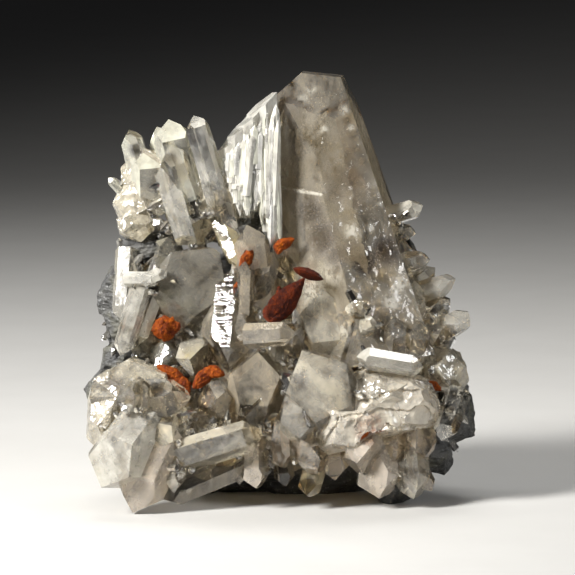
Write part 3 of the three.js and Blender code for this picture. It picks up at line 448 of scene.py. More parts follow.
def lump_planes(centre, half, faces=14, rough=0.22, key=1, turn=0):
    """Rows of (normal, reach, 0) for directions spread evenly over a ball, each cut in by its own amount."""
    face = np.arange(faces)
    height = 1 - 2 * (face + 0.5) / faces
    ring = np.sqrt(1 - height**2)
    angle = np.radians(face * GOLDEN_TURN + key * 31)
    normal = np.stack([ring * np.cos(angle), height, ring * np.sin(angle)], 1)
    normal[:, 0] += 0.25 * (grain(key * 17 + face) - 0.5)
    normal[:, 1] += 0.25 * (grain(key * 19 + face) - 0.5)
    normal /= np.linalg.norm(normal, axis=1, keepdims=True)
    reach = np.linalg.norm(normal * half, axis=1) * (1 - rough * grain(key * 23 + face))
    turned = math.radians(turn)
    cos, sin = math.cos(turned), math.sin(turned)
    normal = normal @ np.array([[cos, sin, 0], [-sin, cos, 0], [0, 0, 1]])
    return np.column_stack([normal, normal @ np.array(centre) + reach, np.zeros(faces)])


GREAT_LEAN = math.radians(8.6)
GREAT_AXIS = np.array([-math.sin(GREAT_LEAN), math.cos(GREAT_LEAN), 0])
GREAT_RIGHT = np.array([math.cos(GREAT_LEAN), math.sin(GREAT_LEAN), 0])
GREAT_FOOT = np.array([20.0, 30.0, -2.0])
SHIELD_SIDE = 2
STEP_DEPTH = 0.7


def great_planes():
    """Seven sides that close in toward the top, five top faces, and the shield face set back by a step."""
    rows = []
    for side in GREAT_SIDES:
        turn, lean = math.radians(side["turn"]), math.radians(side["lean"])
        outward = FRONT * math.cos(turn) + GREAT_RIGHT * math.sin(turn)
        normal = outward * math.cos(lean) + GREAT_AXIS * math.sin(lean)
        rows.append((*normal, normal @ np.array(side["point"]), 1))
    for top in GREAT_TOP:
        normal = unit(top["faces"])
        rows.append((*normal, normal @ np.array(top["point"]), 0))
    return np.array(rows)


print("the great crystal has", len(great_planes()), "faces")

# %% Every body of the cluster, with how it looks
# milk: how cloudy the body is at its root and at its tip, from 0 for clear to 1 for white
WHITE, CREAM, WARM, PINKISH = (0.82, 0.80, 0.71), (0.70, 0.64, 0.49), (0.50, 0.41, 0.27), (0.70, 0.60, 0.48)
GREY, SMOKY, OLIVE, HONEY = (0.44, 0.41, 0.33), (0.31, 0.27, 0.18), (0.25, 0.23, 0.13), (0.68, 0.56, 0.27)
GREENISH = (0.76, 0.76, 0.63)
LOOKS = {
    1: (0.85, 0.6, GREENISH), 2: (0.95, 0.75, GREENISH), 3: (0.8, 0.5, GREENISH), 4: (0.7, 0.55, WHITE),
    5: (0.7, 0.6, HONEY), 7: (0.75, 0.45, WHITE), 8: (0.95, 0.8, GREENISH), 9: (0.9, 0.7, GREENISH),
    10: (0.7, 0.7, (0.22, 0.19, 0.12)), 11: (0.55, 0.45, OLIVE), 12: (0.8, 0.7, WHITE), 13: (0.8, 0.7, WHITE),
    14: (0.85, 0.7, WHITE), 15: (0.8, 0.6, CREAM), 16: (0.6, 0.4, GREY), 17: (0.4, 0.3, OLIVE),
    18: (0.5, 0.3, SMOKY), 19: (0.4, 0.2, OLIVE), 20: (0.6, 0.45, CREAM), 21: (0.5, 0.3, OLIVE),
    29: (0.7, 0.55, WARM), 30: (0.6, 0.4, SMOKY), 35: (0.75, 0.55, CREAM), 36: (0.75, 0.55, CREAM),
    44: (0.85, 0.55, WHITE), 55: (0.6, 0.35, WHITE), 58: (0.85, 0.75, WHITE), 59: (0.8, 0.7, PINKISH),
    60: (0.5, 0.3, GREY), 63: (0.6, 0.35, CREAM), 64: (0.5, 0.2, WARM), 72: (0.75, 0.6, PINKISH),
    73: (0.8, 0.65, PINKISH), 74: (0.7, 0.5, CREAM), 70: (0.5, 0.3, HONEY),
}
# the crystals past these numbers are looked up in the groups that the tables form
GROUP_LOOKS = ((9, (0.8, 0.6, GREENISH)), (21, (0.65, 0.45, CREAM)), (34, (0.6, 0.42, WARM)), (45, (0.65, 0.5, GREY)),
               (54, (0.7, 0.5, WHITE)), (64, (0.65, 0.45, CREAM)), (77, (0.65, 0.5, PINKISH)), (86, (0.65, 0.45, GREY)))
LUMP_LOOK = (0.72, 0.72, CREAM)
SHELL_LOOK = (1.05, 1.05, (0.90, 0.83, 0.69))
SHELL_LUMPS = (21, 22)
# how much the flat faces of a body differ from each other in milk and in painted light and shade, where it is not 1
CALM = {10: 0.15, 12: 0.45, 13: 0.45, 14: 0.45, 28: 0.5, 35: 0.5, 36: 0.5, 44: 0.7, 55: 0.4, 58: 0.25, 59: 0.3,
        72: 0.5, 73: 0.5}
GREAT_LOOK = (0.53, 0.48, (0.27, 0.22, 0.125))
GROWTH_LOOK = (1.1, 1.0, (0.88, 0.87, 0.80))
MILK_SHARE = 0.76


def body_of(planes, root, axis, length, look, kind):
    return dict(planes=planes, root=np.array(root, float), axis=axis, length=length, look=look, kind=kind)


def crystal_body(key, row):
    """A crystal's axis runs from its root to its tip. Its look is its own, or its table's."""
    span = np.subtract(row["tip"], row["root"])
    look = LOOKS.get(key) or next(look for last, look in GROUP_LOOKS if key <= last)
    return body_of(crystal_planes(**row, key=key), row["root"], unit(span), np.linalg.norm(span), look, "crystal")


def growth_body(index, row):
    """A flat prism beside the great crystal, cut aslant at its top and at its foot."""
    root = np.array([row["across"] + 0.6, row["foot"], row["toward"] - 1.2])
    tip = np.array([row["across"], row["top"] + row["wide"], row["toward"]])
    planes = crystal_planes(root, tip, row["wide"], deep=6, roll=-14 + 5 * index, tilt=-1.5, broken=True,
                            key=40 + index)
    edge = row["across"] - row["wide"] / 2
    for faces, point in (((-0.62, 0.76, 0.2), (edge, row["top"], row["toward"])),
                         ((-0.5, -0.8, 0.3), (edge, row["foot"] + 2, row["toward"]))):
        planes = np.vstack([planes, [*unit(faces), unit(faces) @ np.array(point), 0]])
    return body_of(planes, root, unit(tip - root), np.linalg.norm(tip - root), GROWTH_LOOK, "growth")


def lump_body(row, shell, **more):
    look, kind = (SHELL_LOOK, "shell") if shell else (LUMP_LOOK, "lump")
    return body_of(lump_planes(**row, **more), row["centre"], UP, 10.0, look, kind)


def listed_bodies():
    """One record a body: its planes, its root, axis and length, how cloudy and what tone it is, and its kind."""
    return [
        body_of(great_planes(), GREAT_FOOT, GREAT_AXIS, 58.0, GREAT_LOOK, "great"),
        *(crystal_body(key, row) for key, row in enumerate(CRYSTALS, start=1)),
        *(growth_body(index, row) for index, row in enumerate(PARALLEL_GROWTHS)),
        *(lump_body(row, row["key"] in SHELL_LUMPS) for row in MILKY_LUMPS),
        *(lump_body(row, True, faces=20, rough=0.05, key=70 + index) for index, row in enumerate(SHELL_LEDGES)),
    ]


BODIES = listed_bodies()
print(len(BODIES), "bodies make the cluster")

# %% [markdown]
# ## A merged copy of the cluster's solid
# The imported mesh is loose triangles, so a copy of it is merged first and becomes the shown piece.
# A voxel remesh would round the crystal edges, and quartz edges are sharp, so the faces stay as they are.


# %% Meshes in and out of numpy
def merged_copy(node, name):
    """A copy of a solid's mesh with its doubled corner points tied together."""
    mesh = frame["nodes"][node].data.copy()
    mesh.name = name
    tied = bmesh.new()
    tied.from_mesh(mesh)
    bmesh.ops.remove_doubles(tied, verts=tied.verts, dist=2e-6)
    bmesh.ops.dissolve_degenerate(tied, edges=tied.edges, dist=1e-6)
    tied.to_mesh(mesh)
    tied.free()
    mesh.materials.clear()
    for layer in list(mesh.uv_layers):
        mesh.uv_layers.remove(layer)
    return mesh


def points_of(mesh):
    """All corner points of a mesh as rows of three numbers."""
    flat = np.empty(len(mesh.vertices) * 3)
    mesh.vertices.foreach_get("co", flat)
    return flat.reshape(-1, 3)


def normals_of(mesh):
    """The way out of the skin at each corner point, as rows of three numbers."""
    flat = np.empty(len(mesh.vertices) * 3)
    mesh.vertices.foreach_get("normal", flat)
    return flat.reshape(-1, 3)


def triangles_of(mesh):
    """Corner numbers of every triangle of a mesh that has only triangles."""
    flat = np.empty(len(mesh.loops), np.int64)
    mesh.loops.foreach_get("vertex_index", flat)
    return flat.reshape(-1, 3)


def shown(mesh, name, material, slot, *nodes, smooth=False):
    """Puts a finished mesh in the scene, riding on the root, and hides the solids that it stands for."""
    mesh.polygons.foreach_set("use_smooth", np.full(len(mesh.polygons), smooth))
    piece = bpy.data.objects.new(name, mesh)
    bpy.context.scene.collection.objects.link(piece)
    piece.data.materials.append(material)
    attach(piece, "root")
    if nodes:
        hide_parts(*nodes)
    print(f"{name}: {len(mesh.polygons)} faces")
    return piece


def new_mesh(name, points, faces):
    """A mesh from rows of points and rows of corner numbers."""
    mesh = bpy.data.meshes.new(name)
    mesh.from_pydata(points.tolist(), [], faces.tolist())
    mesh.update()
    return mesh


def corner_values(mesh, name, values, kind="FLOAT"):
    """Stores one value for each face corner under a name that a material can read."""
    field = {"FLOAT": "value", "FLOAT_VECTOR": "vector", "FLOAT_COLOR": "color"}[kind]
    mesh.attributes.new(name, kind, "CORNER").data.foreach_set(field, np.ascontiguousarray(values, np.float32).ravel())


quartz_mesh = merged_copy("quartz_cluster", "quartz_crystals")
print("the cluster has", len(quartz_mesh.polygons), "triangles")

# %% [markdown]
# ## Which crystal does each face belong to?
# A face of the cluster lies on exactly one plane of one crystal. Measured from the middle of the face, that
# crystal's furthest plane is at distance nought, so the smallest distance names the owner.


# %% Owners, and a frame for each body
ON_FACE, ON_STEP = 0.05, 0.02
FACES_AT_MOST = 40


def owners(centres):
    """For each centre: the body whose skin it lies on, whether on a side face, how far off, and a number that
    all centres on one flat face share."""
    off = np.empty((len(BODIES), len(centres)))
    side = np.empty_like(off)
    plane = np.empty(off.shape, int)
    for number, body in enumerate(BODIES):
        reaches = centres @ body["planes"][:, :3].T - body["planes"][:, 3]
        furthest = reaches.argmax(1)
        off[number] = np.abs(reaches[np.arange(len(centres)), furthest])
        side[number] = body["planes"][furthest, 4]
        plane[number] = furthest
    shield = BODIES[0]["planes"][SHIELD_SIDE]
    set_back = np.abs(centres @ shield[:3] - shield[3] + STEP_DEPTH) < ON_STEP
    inside = (centres @ BODIES[0]["planes"][:, :3].T - BODIES[0]["planes"][:, 3]).max(1) < 0
    off[0, set_back & inside] = 0
    side[0, set_back & inside] = 1
    owner = off.argmin(0)
    pick = np.arange(len(centres))
    return owner, side[owner, pick], off[owner, pick], owner * FACES_AT_MOST + plane[owner, pick]


def frame_of(axis):
    """Rows for the way across, the way to the front and the axis: their products with a way are its shares."""
    front, _ = across_axis(axis)
    return np.stack([np.cross(front, axis), front, axis])


frames = np.array([frame_of(body["axis"]) for body in BODIES])
roots = np.array([body["root"] for body in BODIES])
lengths = np.array([body["length"] for body in BODIES])
milk = np.array([body["look"][:2] for body in BODIES]) * MILK_SHARE
tones = np.array([body["look"][2] for body in BODIES])
kinds = np.array([body["kind"] for body in BODIES])
swings = np.select([kinds == "crystal", kinds == "great"], [1.0, 0.1], 0.4)
for key, calm in CALM.items():
    swings[key] = calm
print("kinds of body:", {str(kind): int((kinds == kind).sum()) for kind in np.unique(kinds)})

# %% [markdown]
# ## Broken quartz
# Quartz has no cleavage: it breaks like thick glass, in curved ledges one behind another. The faces of the broken
# lumps are cut into small ones, and each point is sunk a little: by ledges round a middle below the shell-broken
# mass at the lower right, and by uneven noise on the other lumps. The clean crystal faces are left as they are.


# %% Finer faces, and ledges
SHELL_MIDDLE = np.array([21.5, 11.5, 9.0])
SHELL_GRAIN, LUMP_GRAIN = 0.36 * MM, 0.8 * MM
ROUNDS = 9


def finer(mesh, wanted):
    """Halves the edges of the marked faces until none is longer than wanted, in metres, for its mark."""
    work = bmesh.new()
    work.from_mesh(mesh)
    mark = work.faces.layers.float.new("finest")
    for face, length in zip(work.faces, wanted):
        face[mark] = length
    for _ in range(ROUNDS):
        cut = list(dict.fromkeys(edge for face in work.faces if face[mark]
                                 for edge in face.edges if edge.calc_length() > face[mark]))
        if not cut:
            break
        bmesh.ops.subdivide_edges(work, edges=cut, cuts=1)
        bmesh.ops.triangulate(work, faces=[face for face in work.faces if len(face.verts) > 3])
    work.to_mesh(mesh)
    work.free()


def ledge_depth(points):
    """Noise, and a fine and a broad saw of the distance from a middle, bent by noise: each tooth rises slowly and
    drops at once, like a shell's ribs. The fine teeth are deep in some places and gone in others."""
    away = np.linalg.norm((points - SHELL_MIDDLE) * (1, 1.25, 0.5), axis=1)
    away += 2.6 * layered_noise(points, 6.0, 3, 41)
    fine, broad = away / 0.9, away / 4.3
    strength = np.clip(smooth_noise(points, 4.0, 44) + 0.35, 0, 1)
    coarse = 0.26 * np.abs(layered_noise(points, 3.0, 3, 52))
    return coarse + strength * 0.16 * (fine - np.floor(fine)) + 0.5 * (broad - np.floor(broad)) ** 2


def broken_quartz(mesh):
    """Marks the broken faces by their owners, cuts them finer, and sinks the points that lie only on them."""
    centres = to_reading(points_of(mesh))[triangles_of(mesh)].mean(1)
    owner, _, off, _ = owners(centres)
    shell = kinds[owner] == "shell"
    lump = (kinds[owner] == "lump") | (off > ON_FACE)
    finer(mesh, np.where(shell, SHELL_GRAIN, np.where(lump, LUMP_GRAIN, 0)))
    wanted = np.empty(len(mesh.polygons), np.float32)
    mesh.attributes["finest"].data.foreach_get("value", wanted)
    mesh.attributes.remove(mesh.attributes["finest"])
    triangles, points = triangles_of(mesh), points_of(mesh)
    clean, uneven, ledged = 0, 1, 2
    manner = np.where(wanted > 0, np.where(wanted < LUMP_GRAIN * 0.9, ledged, uneven), clean)
    sunk_by = np.full(len(points), ledged)
    np.minimum.at(sunk_by, triangles.ravel(), np.repeat(manner, 3))
    reading = to_reading(points)
    depths = [ledge_depth(reading), 0.30 * np.abs(layered_noise(reading, 2.6, 3, 47))]
    depth = np.select([sunk_by == ledged, sunk_by == uneven], depths, 0)
    mesh.vertices.foreach_set("co", (points - normals_of(mesh) * (depth * MM)[:, None]).ravel())
    mesh.update()
    return owners(to_reading(points)[triangles].mean(1)), wanted > 0


(owner, on_side, off, facet), is_broken = broken_quartz(quartz_mesh)
corners = to_reading(points_of(quartz_mesh))
triangles = triangles_of(quartz_mesh)
print("the cluster now has", len(triangles), "faces,", int(is_broken.sum()), "of them on broken quartz")

# %% [markdown]
# ## What each face tells the material
# Six values are stored at the corners of the faces: the place in the crystal's own frame, how cloudy it is there,
# its tone, and whether the face is a grooved side, a fibrous growth or a broken one.


# %% The values that the material reads
DRIFT = 40


def material_values(mesh, place, cloud, tone, side, fibre, broken):
    """Stores the six values under the names that the quartz material reads."""
    corner_values(mesh, "place", place, "FLOAT_VECTOR")
    corner_values(mesh, "cloud", cloud)
    corner_values(mesh, "tone", np.column_stack([tone, np.ones(len(tone))]), "FLOAT_COLOR")
    for name, values in (("side", side), ("fibre", fibre), ("broken", broken)):
        corner_values(mesh, name, np.broadcast_to(values, len(cloud)))


def crystal_values(points, triangles, owner, facet):
    """Place along and across the owner crystal's axis, its milkiness there, and its tone, for each face corner.
    Each flat face is given a share more or less of both, as painted light and shade drawn at random, that stands for
    each face showing another part of what lies behind."""
    body = np.repeat(owner, 3)
    place = np.einsum("nij,nj->ni", frames[body], points[triangles.ravel()] - roots[body])
    along = np.clip(place[:, 2] / lengths[body], 0, 1)
    cloud = milk[body, 0] + (milk[body, 1] - milk[body, 0]) * np.clip(along * 1.25 - 0.1, 0, 1)
    drift = np.stack([grain(body * 3 + axis) for axis in range(3)], 1) * DRIFT
    face = np.repeat(facet, 3)
    # painted light and shade for each flat face: a random share more or less of milk and of tone
    cloud = np.minimum(cloud + swings[body] * (0.75 * grain(face * 5 + 2) - 0.42), 0.88)
    shade = 1 + swings[body] * (0.50 * grain(face * 7 + 1) - 0.40)
    return place + drift, cloud, tones[body] * shade[:, None]


place, cloud, tone = crystal_values(corners, triangles, owner, facet)
grooved = np.where(off < ON_FACE, on_side, 0) * np.where(owner == 0, 0.3, 1)
material_values(quartz_mesh, place, cloud, tone, side=np.repeat(grooved, 3),
                fibre=np.repeat(kinds[owner] == "growth", 3), broken=np.repeat(is_broken, 3))
print("mean milkiness", cloud.mean().round(2))

# %% [markdown]
# ## Helpers for materials
# A material is a small network of nodes. Two helpers add a node with its settings and inputs in one line,
# and a few more name the steps that come back in every finish: noise, a change of range, a mix of colours.


# %% Material helpers
def fresh_material(name):
    material = bpy.data.materials.new(name)
    material.use_nodes = True
    material.node_tree.nodes.clear()
    return material, material.node_tree


def add(tree, kind, inputs=None, **settings):
    """One shader node: settings are its own choices, inputs are sockets by name, linked or set."""
    node = tree.nodes.new("ShaderNode" + kind)
    for name, value in settings.items():
        setattr(node, name, value)
    for name, value in (inputs or {}).items():
        if isinstance(value, bpy.types.NodeSocket):
            tree.links.new(value, node.inputs[name])
        else:
            node.inputs[name].default_value = value
    return node


def attribute(tree, name, output="Fac"):
    return add(tree, "Attribute", attribute_name=name).outputs[output]


def stretched(tree, vector, scales):
    return add(tree, "VectorMath", {0: vector, 1: scales}, operation="MULTIPLY").outputs[0]


def noise(tree, vector, scale=1.0, detail=5.0, rough=0.55, bend=0.0):
    inputs = {"Vector": vector, "Scale": scale, "Detail": detail, "Roughness": rough, "Distortion": bend}
    return add(tree, "TexNoise", inputs).outputs["Fac"]


def cells(tree, vector, scale, feature="F1", output="Distance"):
    return add(tree, "TexVoronoi", {"Vector": vector, "Scale": scale}, feature=feature).outputs[output]


def ranged(tree, value, low, high, to_low=0.0, to_high=1.0, smooth=False):
    """The value's range low to high becomes to_low to to_high, and nothing passes either end."""
    inputs = {"Value": value, "From Min": low, "From Max": high, "To Min": to_low, "To Max": to_high}
    return add(tree, "MapRange", inputs, interpolation_type="SMOOTHSTEP" if smooth else "LINEAR").outputs[0]


def sums(tree, operation, first, second):
    return add(tree, "Math", {0: first, 1: second}, operation=operation).outputs[0]


def blended(tree, factor, first, second):
    """A mix of two colours by a factor from 0 to 1."""
    node = add(tree, "Mix", data_type="RGBA")
    for socket, value in ((node.inputs["Factor"], factor), (node.inputs[6], first), (node.inputs[7], second)):
        if isinstance(value, bpy.types.NodeSocket):
            tree.links.new(value, socket)
        elif isinstance(value, (float, int)):
            socket.default_value = value
        else:
            socket.default_value = (*value, 1)
    return node.outputs[2]


def bumped(tree, height, distance, strength=1.0, under=None):
    """A normal bent by a height, whose full swing stands for the distance in metres."""
    inputs = {"Height": height, "Distance": distance, "Strength": strength}
    if under is not None:
        inputs["Normal"] = under
    return add(tree, "Bump", inputs).outputs[0]


front_skin = BVHTree.FromPolygons(corners.tolist(), triangles.tolist())


def on_front(across, up):
    """The place on the quartz that shows there from the front, found by a ray from the viewer."""
    hit = front_skin.ray_cast(Vector((across, up, 40)), Vector((0, 0, -1)))[0]
    return across, up, hit[2] if hit else 0.0


def patches(tree, spots, position):
    """The strongest of several round soft patches: 1 in the middle of a spot, 0 from its radius outward."""
    total = None
    for middle, radius, strength in spots:
        centre = tuple(standing(on_front(*middle)))
        far = add(tree, "VectorMath", {0: position, 1: centre}, operation="DISTANCE").outputs["Value"]
        near = ranged(tree, far, radius * 0.15 * MM, radius * MM, strength, 0.0, smooth=True)
        total = near if total is None else sums(tree, "MAXIMUM", total, near)
    return total


def strip(tree, stops, radius, position):
    """A soft line through several places: 1 on it, 0 from its radius outward. The nearest place of each stretch
    lies as far along it as the place's own way from its start, measured along the stretch and kept to its length."""
    total = None
    for first, last in zip(stops, stops[1:]):
        start, end = standing(on_front(*first)), standing(on_front(*last))
        away = add(tree, "VectorMath", {0: position, 1: tuple(start)}, operation="SUBTRACT").outputs[0]
        way = tuple(unit(end - start))
        along = add(tree, "VectorMath", {0: away, 1: way}, operation="DOT_PRODUCT").outputs["Value"]
        kept = sums(tree, "MINIMUM", sums(tree, "MAXIMUM", along, 0.0), float(np.linalg.norm(end - start)))
        nearest = add(tree, "VectorMath", {0: way, "Scale": kept}, operation="SCALE").outputs[0]
        far = add(tree, "VectorMath", {0: away, 1: nearest}, operation="DISTANCE").outputs["Value"]
        near = ranged(tree, far, radius * 0.2 * MM, radius * MM, 1.0, 0.0, smooth=True)
        total = near if total is None else sums(tree, "MAXIMUM", total, near)
    return total


print("material helpers ready")

# %% [markdown]
# ## The quartz
# Real quartz is clear where it grew slowly and milky where tiny bubbles were shut in. The cluster is one
# closed body of glass to light, so it has one material. Values stored on the faces say how cloudy each
# crystal is: where it is clear, light passes with quartz's own bending of 1.544, and where it is milky, part of
# the light is thrown back. Fine grooves run across the side faces, and broken faces are chipped. Stains of rust,
# olive chlorite and yellow clay sit where the real piece has them, and so do clear windows and white clouds.
# The windows are tinted grey as painted shade for the dark seen through them. A row of clouds down the
# great crystal's left side is painted light on a face that lies in shade.

# %% Stains, clear windows with painted shade, white clouds and painted light, by the reading's millimetres: middle across and up, radius, strength
RUST_STAINS = [
    ((1.2, 42.0), 5.2, 0.55), ((5.4, 47.6), 3.6, 0.35), ((-22.8, 36.8), 6.0, 0.75), ((-20.4, 26.6), 6.4, 0.9),
    ((-14.6, 27.4), 6.0, 0.85), ((-6.8, 50.6), 4.0, 0.6), ((0.4, 53.4), 4.2, 0.5), ((17.8, 16.8), 4.6, 0.7),
    ((30.4, 25.4), 3.4, 0.6), ((-19.6, 23.6), 3.4, 0.7), ((-15.0, 22.6), 3.0, 0.5), ((3.0, 13.6), 2.4, 0.6),
]
CLAY_STAINS = [
    ((-17.4, 30.6), 4.6, 0.5), ((1.6, 48.4), 4.2, 0.65), ((-10.6, 53.2), 4.4, 0.6), ((5.6, 6.4), 3.4, 0.6),
    ((15.4, 40.0), 3.6, 0.4), ((-13.0, 60.0), 3.6, 0.3),
]
OLIVE_STAINS = [
    ((-20.8, 38.8), 8.6, 0.7), ((-29.2, 57.0), 4.8, 0.7), ((-16.4, 61.0), 4.8, 0.75), ((-6.4, 21.0), 4.8, 0.6),
    ((-17.6, 25.0), 6.0, 0.7), ((-24.0, 43.0), 6.4, 0.55), ((3.4, 11.0), 6.0, 0.6), ((-3.0, 57.0), 6.0, 0.6),
    ((-12.0, 37.0), 5.0, 0.5), ((-28.0, 32.0), 5.6, 0.6),
]
BROWN_HAZE = [
    ((11.6, 69.4), 5.5, 0.7), ((16.0, 64.0), 5.5, 0.65), ((9.6, 72.8), 4.5, 0.5), ((7.2, 68.4), 5.0, 0.4),
    ((14.0, 59.4), 4.5, 0.35),
]
# clear windows: less milk, and a grey tint that is painted shade for the dark seen through them
CLEAR_WINDOWS_PAINTED_DARK = [
    ((-28.8, 72.4), 2.2, 1.0), ((-22.2, 70.4), 2.7, 1.0), ((-21.6, 67.0), 2.4, 0.7), ((-17.2, 74.4), 2.0, 0.9),
    ((-11.4, 60.4), 2.6, 0.7), ((-17.8, 7.8), 1.5, 0.9), ((-15.2, 5.6), 2.0, 0.8), ((-32.8, 25.6), 3.0, 0.6),
    ((-24.4, 24.4), 3.0, 0.6), ((6.0, 60.0), 4.5, 0.8), ((8.0, 54.8), 5.5, 0.9), ((10.8, 51.0), 4.0, 0.65),
    ((13.6, 66.4), 4.0, 0.6), ((10.8, 63.8), 3.4, 0.5), ((16.8, 50.0), 4.2, 0.9), ((20.8, 52.4), 4.4, 0.95),
    ((23.2, 54.8), 3.0, 0.7), ((14.0, 52.4), 3.0, 0.5), ((1.6, 80.4), 4.0, 0.45), ((2.8, 72.4), 4.5, 0.35),
    ((3.6, 26.4), 3.0, 0.5), ((24.4, 58.0), 1.6, 0.7), ((26.0, 8.4), 2.4, 0.6), ((33.2, 20.4), 2.6, 0.5),
    ((5.6, 6.8), 1.6, 0.8),
]
CLOUDS_AND_PAINTED_LIGHT = [
    ((8.6, 76.4), 1.4, 1.0), ((14.0, 76.8), 1.4, 0.8), ((4.4, 82.4), 2.0, 0.7), ((6.0, 84.4), 1.8, 0.6),
    ((12.6, 80.2), 1.8, 0.8), ((14.2, 56.2), 2.8, 0.9), ((-1.6, 72.4), 1.8, 0.7), ((6.6, 44.0), 6.0, 0.6),
    ((10.0, 47.2), 5.0, 0.5), ((23.6, 45.2), 3.0, 0.8), ((22.0, 42.0), 3.0, 0.7), ((18.0, 56.8), 1.6, 0.6),
    ((19.6, 61.4), 1.2, 0.5), ((3.6, 28.0), 3.4, 0.5), ((-13.4, 40.0), 3.0, 0.5), ((12.6, 36.4), 3.0, 0.6),
    # the last four spots, down the left side of the great crystal, are painted light on a face that lies in shade
    ((18.0, 38.8), 3.0, 0.6), ((0.8, 77.6), 3.0, 0.5), ((0.8, 72.6), 3.2, 0.5), ((0.8, 67.4), 3.0, 0.5),
    ((0.8, 61.6), 2.6, 0.4),
]
LEDGE_LINE = [(-1.4, 65.2), (0.2, 64.9), (3.4, 64.1), (8.0, 63.4)]
SPECKLED = [
    ((8.0, 55.2), 5.6, 1.0), ((20.8, 52.0), 5.0, 1.0), ((6.0, 60.0), 4.4, 0.8), ((16.8, 49.6), 4.4, 1.0),
    ((3.6, 26.8), 2.6, 0.8),
]

# %% The quartz material
RUST, CLAY, OLIVE_STAIN, HAZE = (0.36, 0.10, 0.02), (0.52, 0.42, 0.16), (0.13, 0.12, 0.07), (0.30, 0.23, 0.13)
QUARTZ_BENDING = 1.544


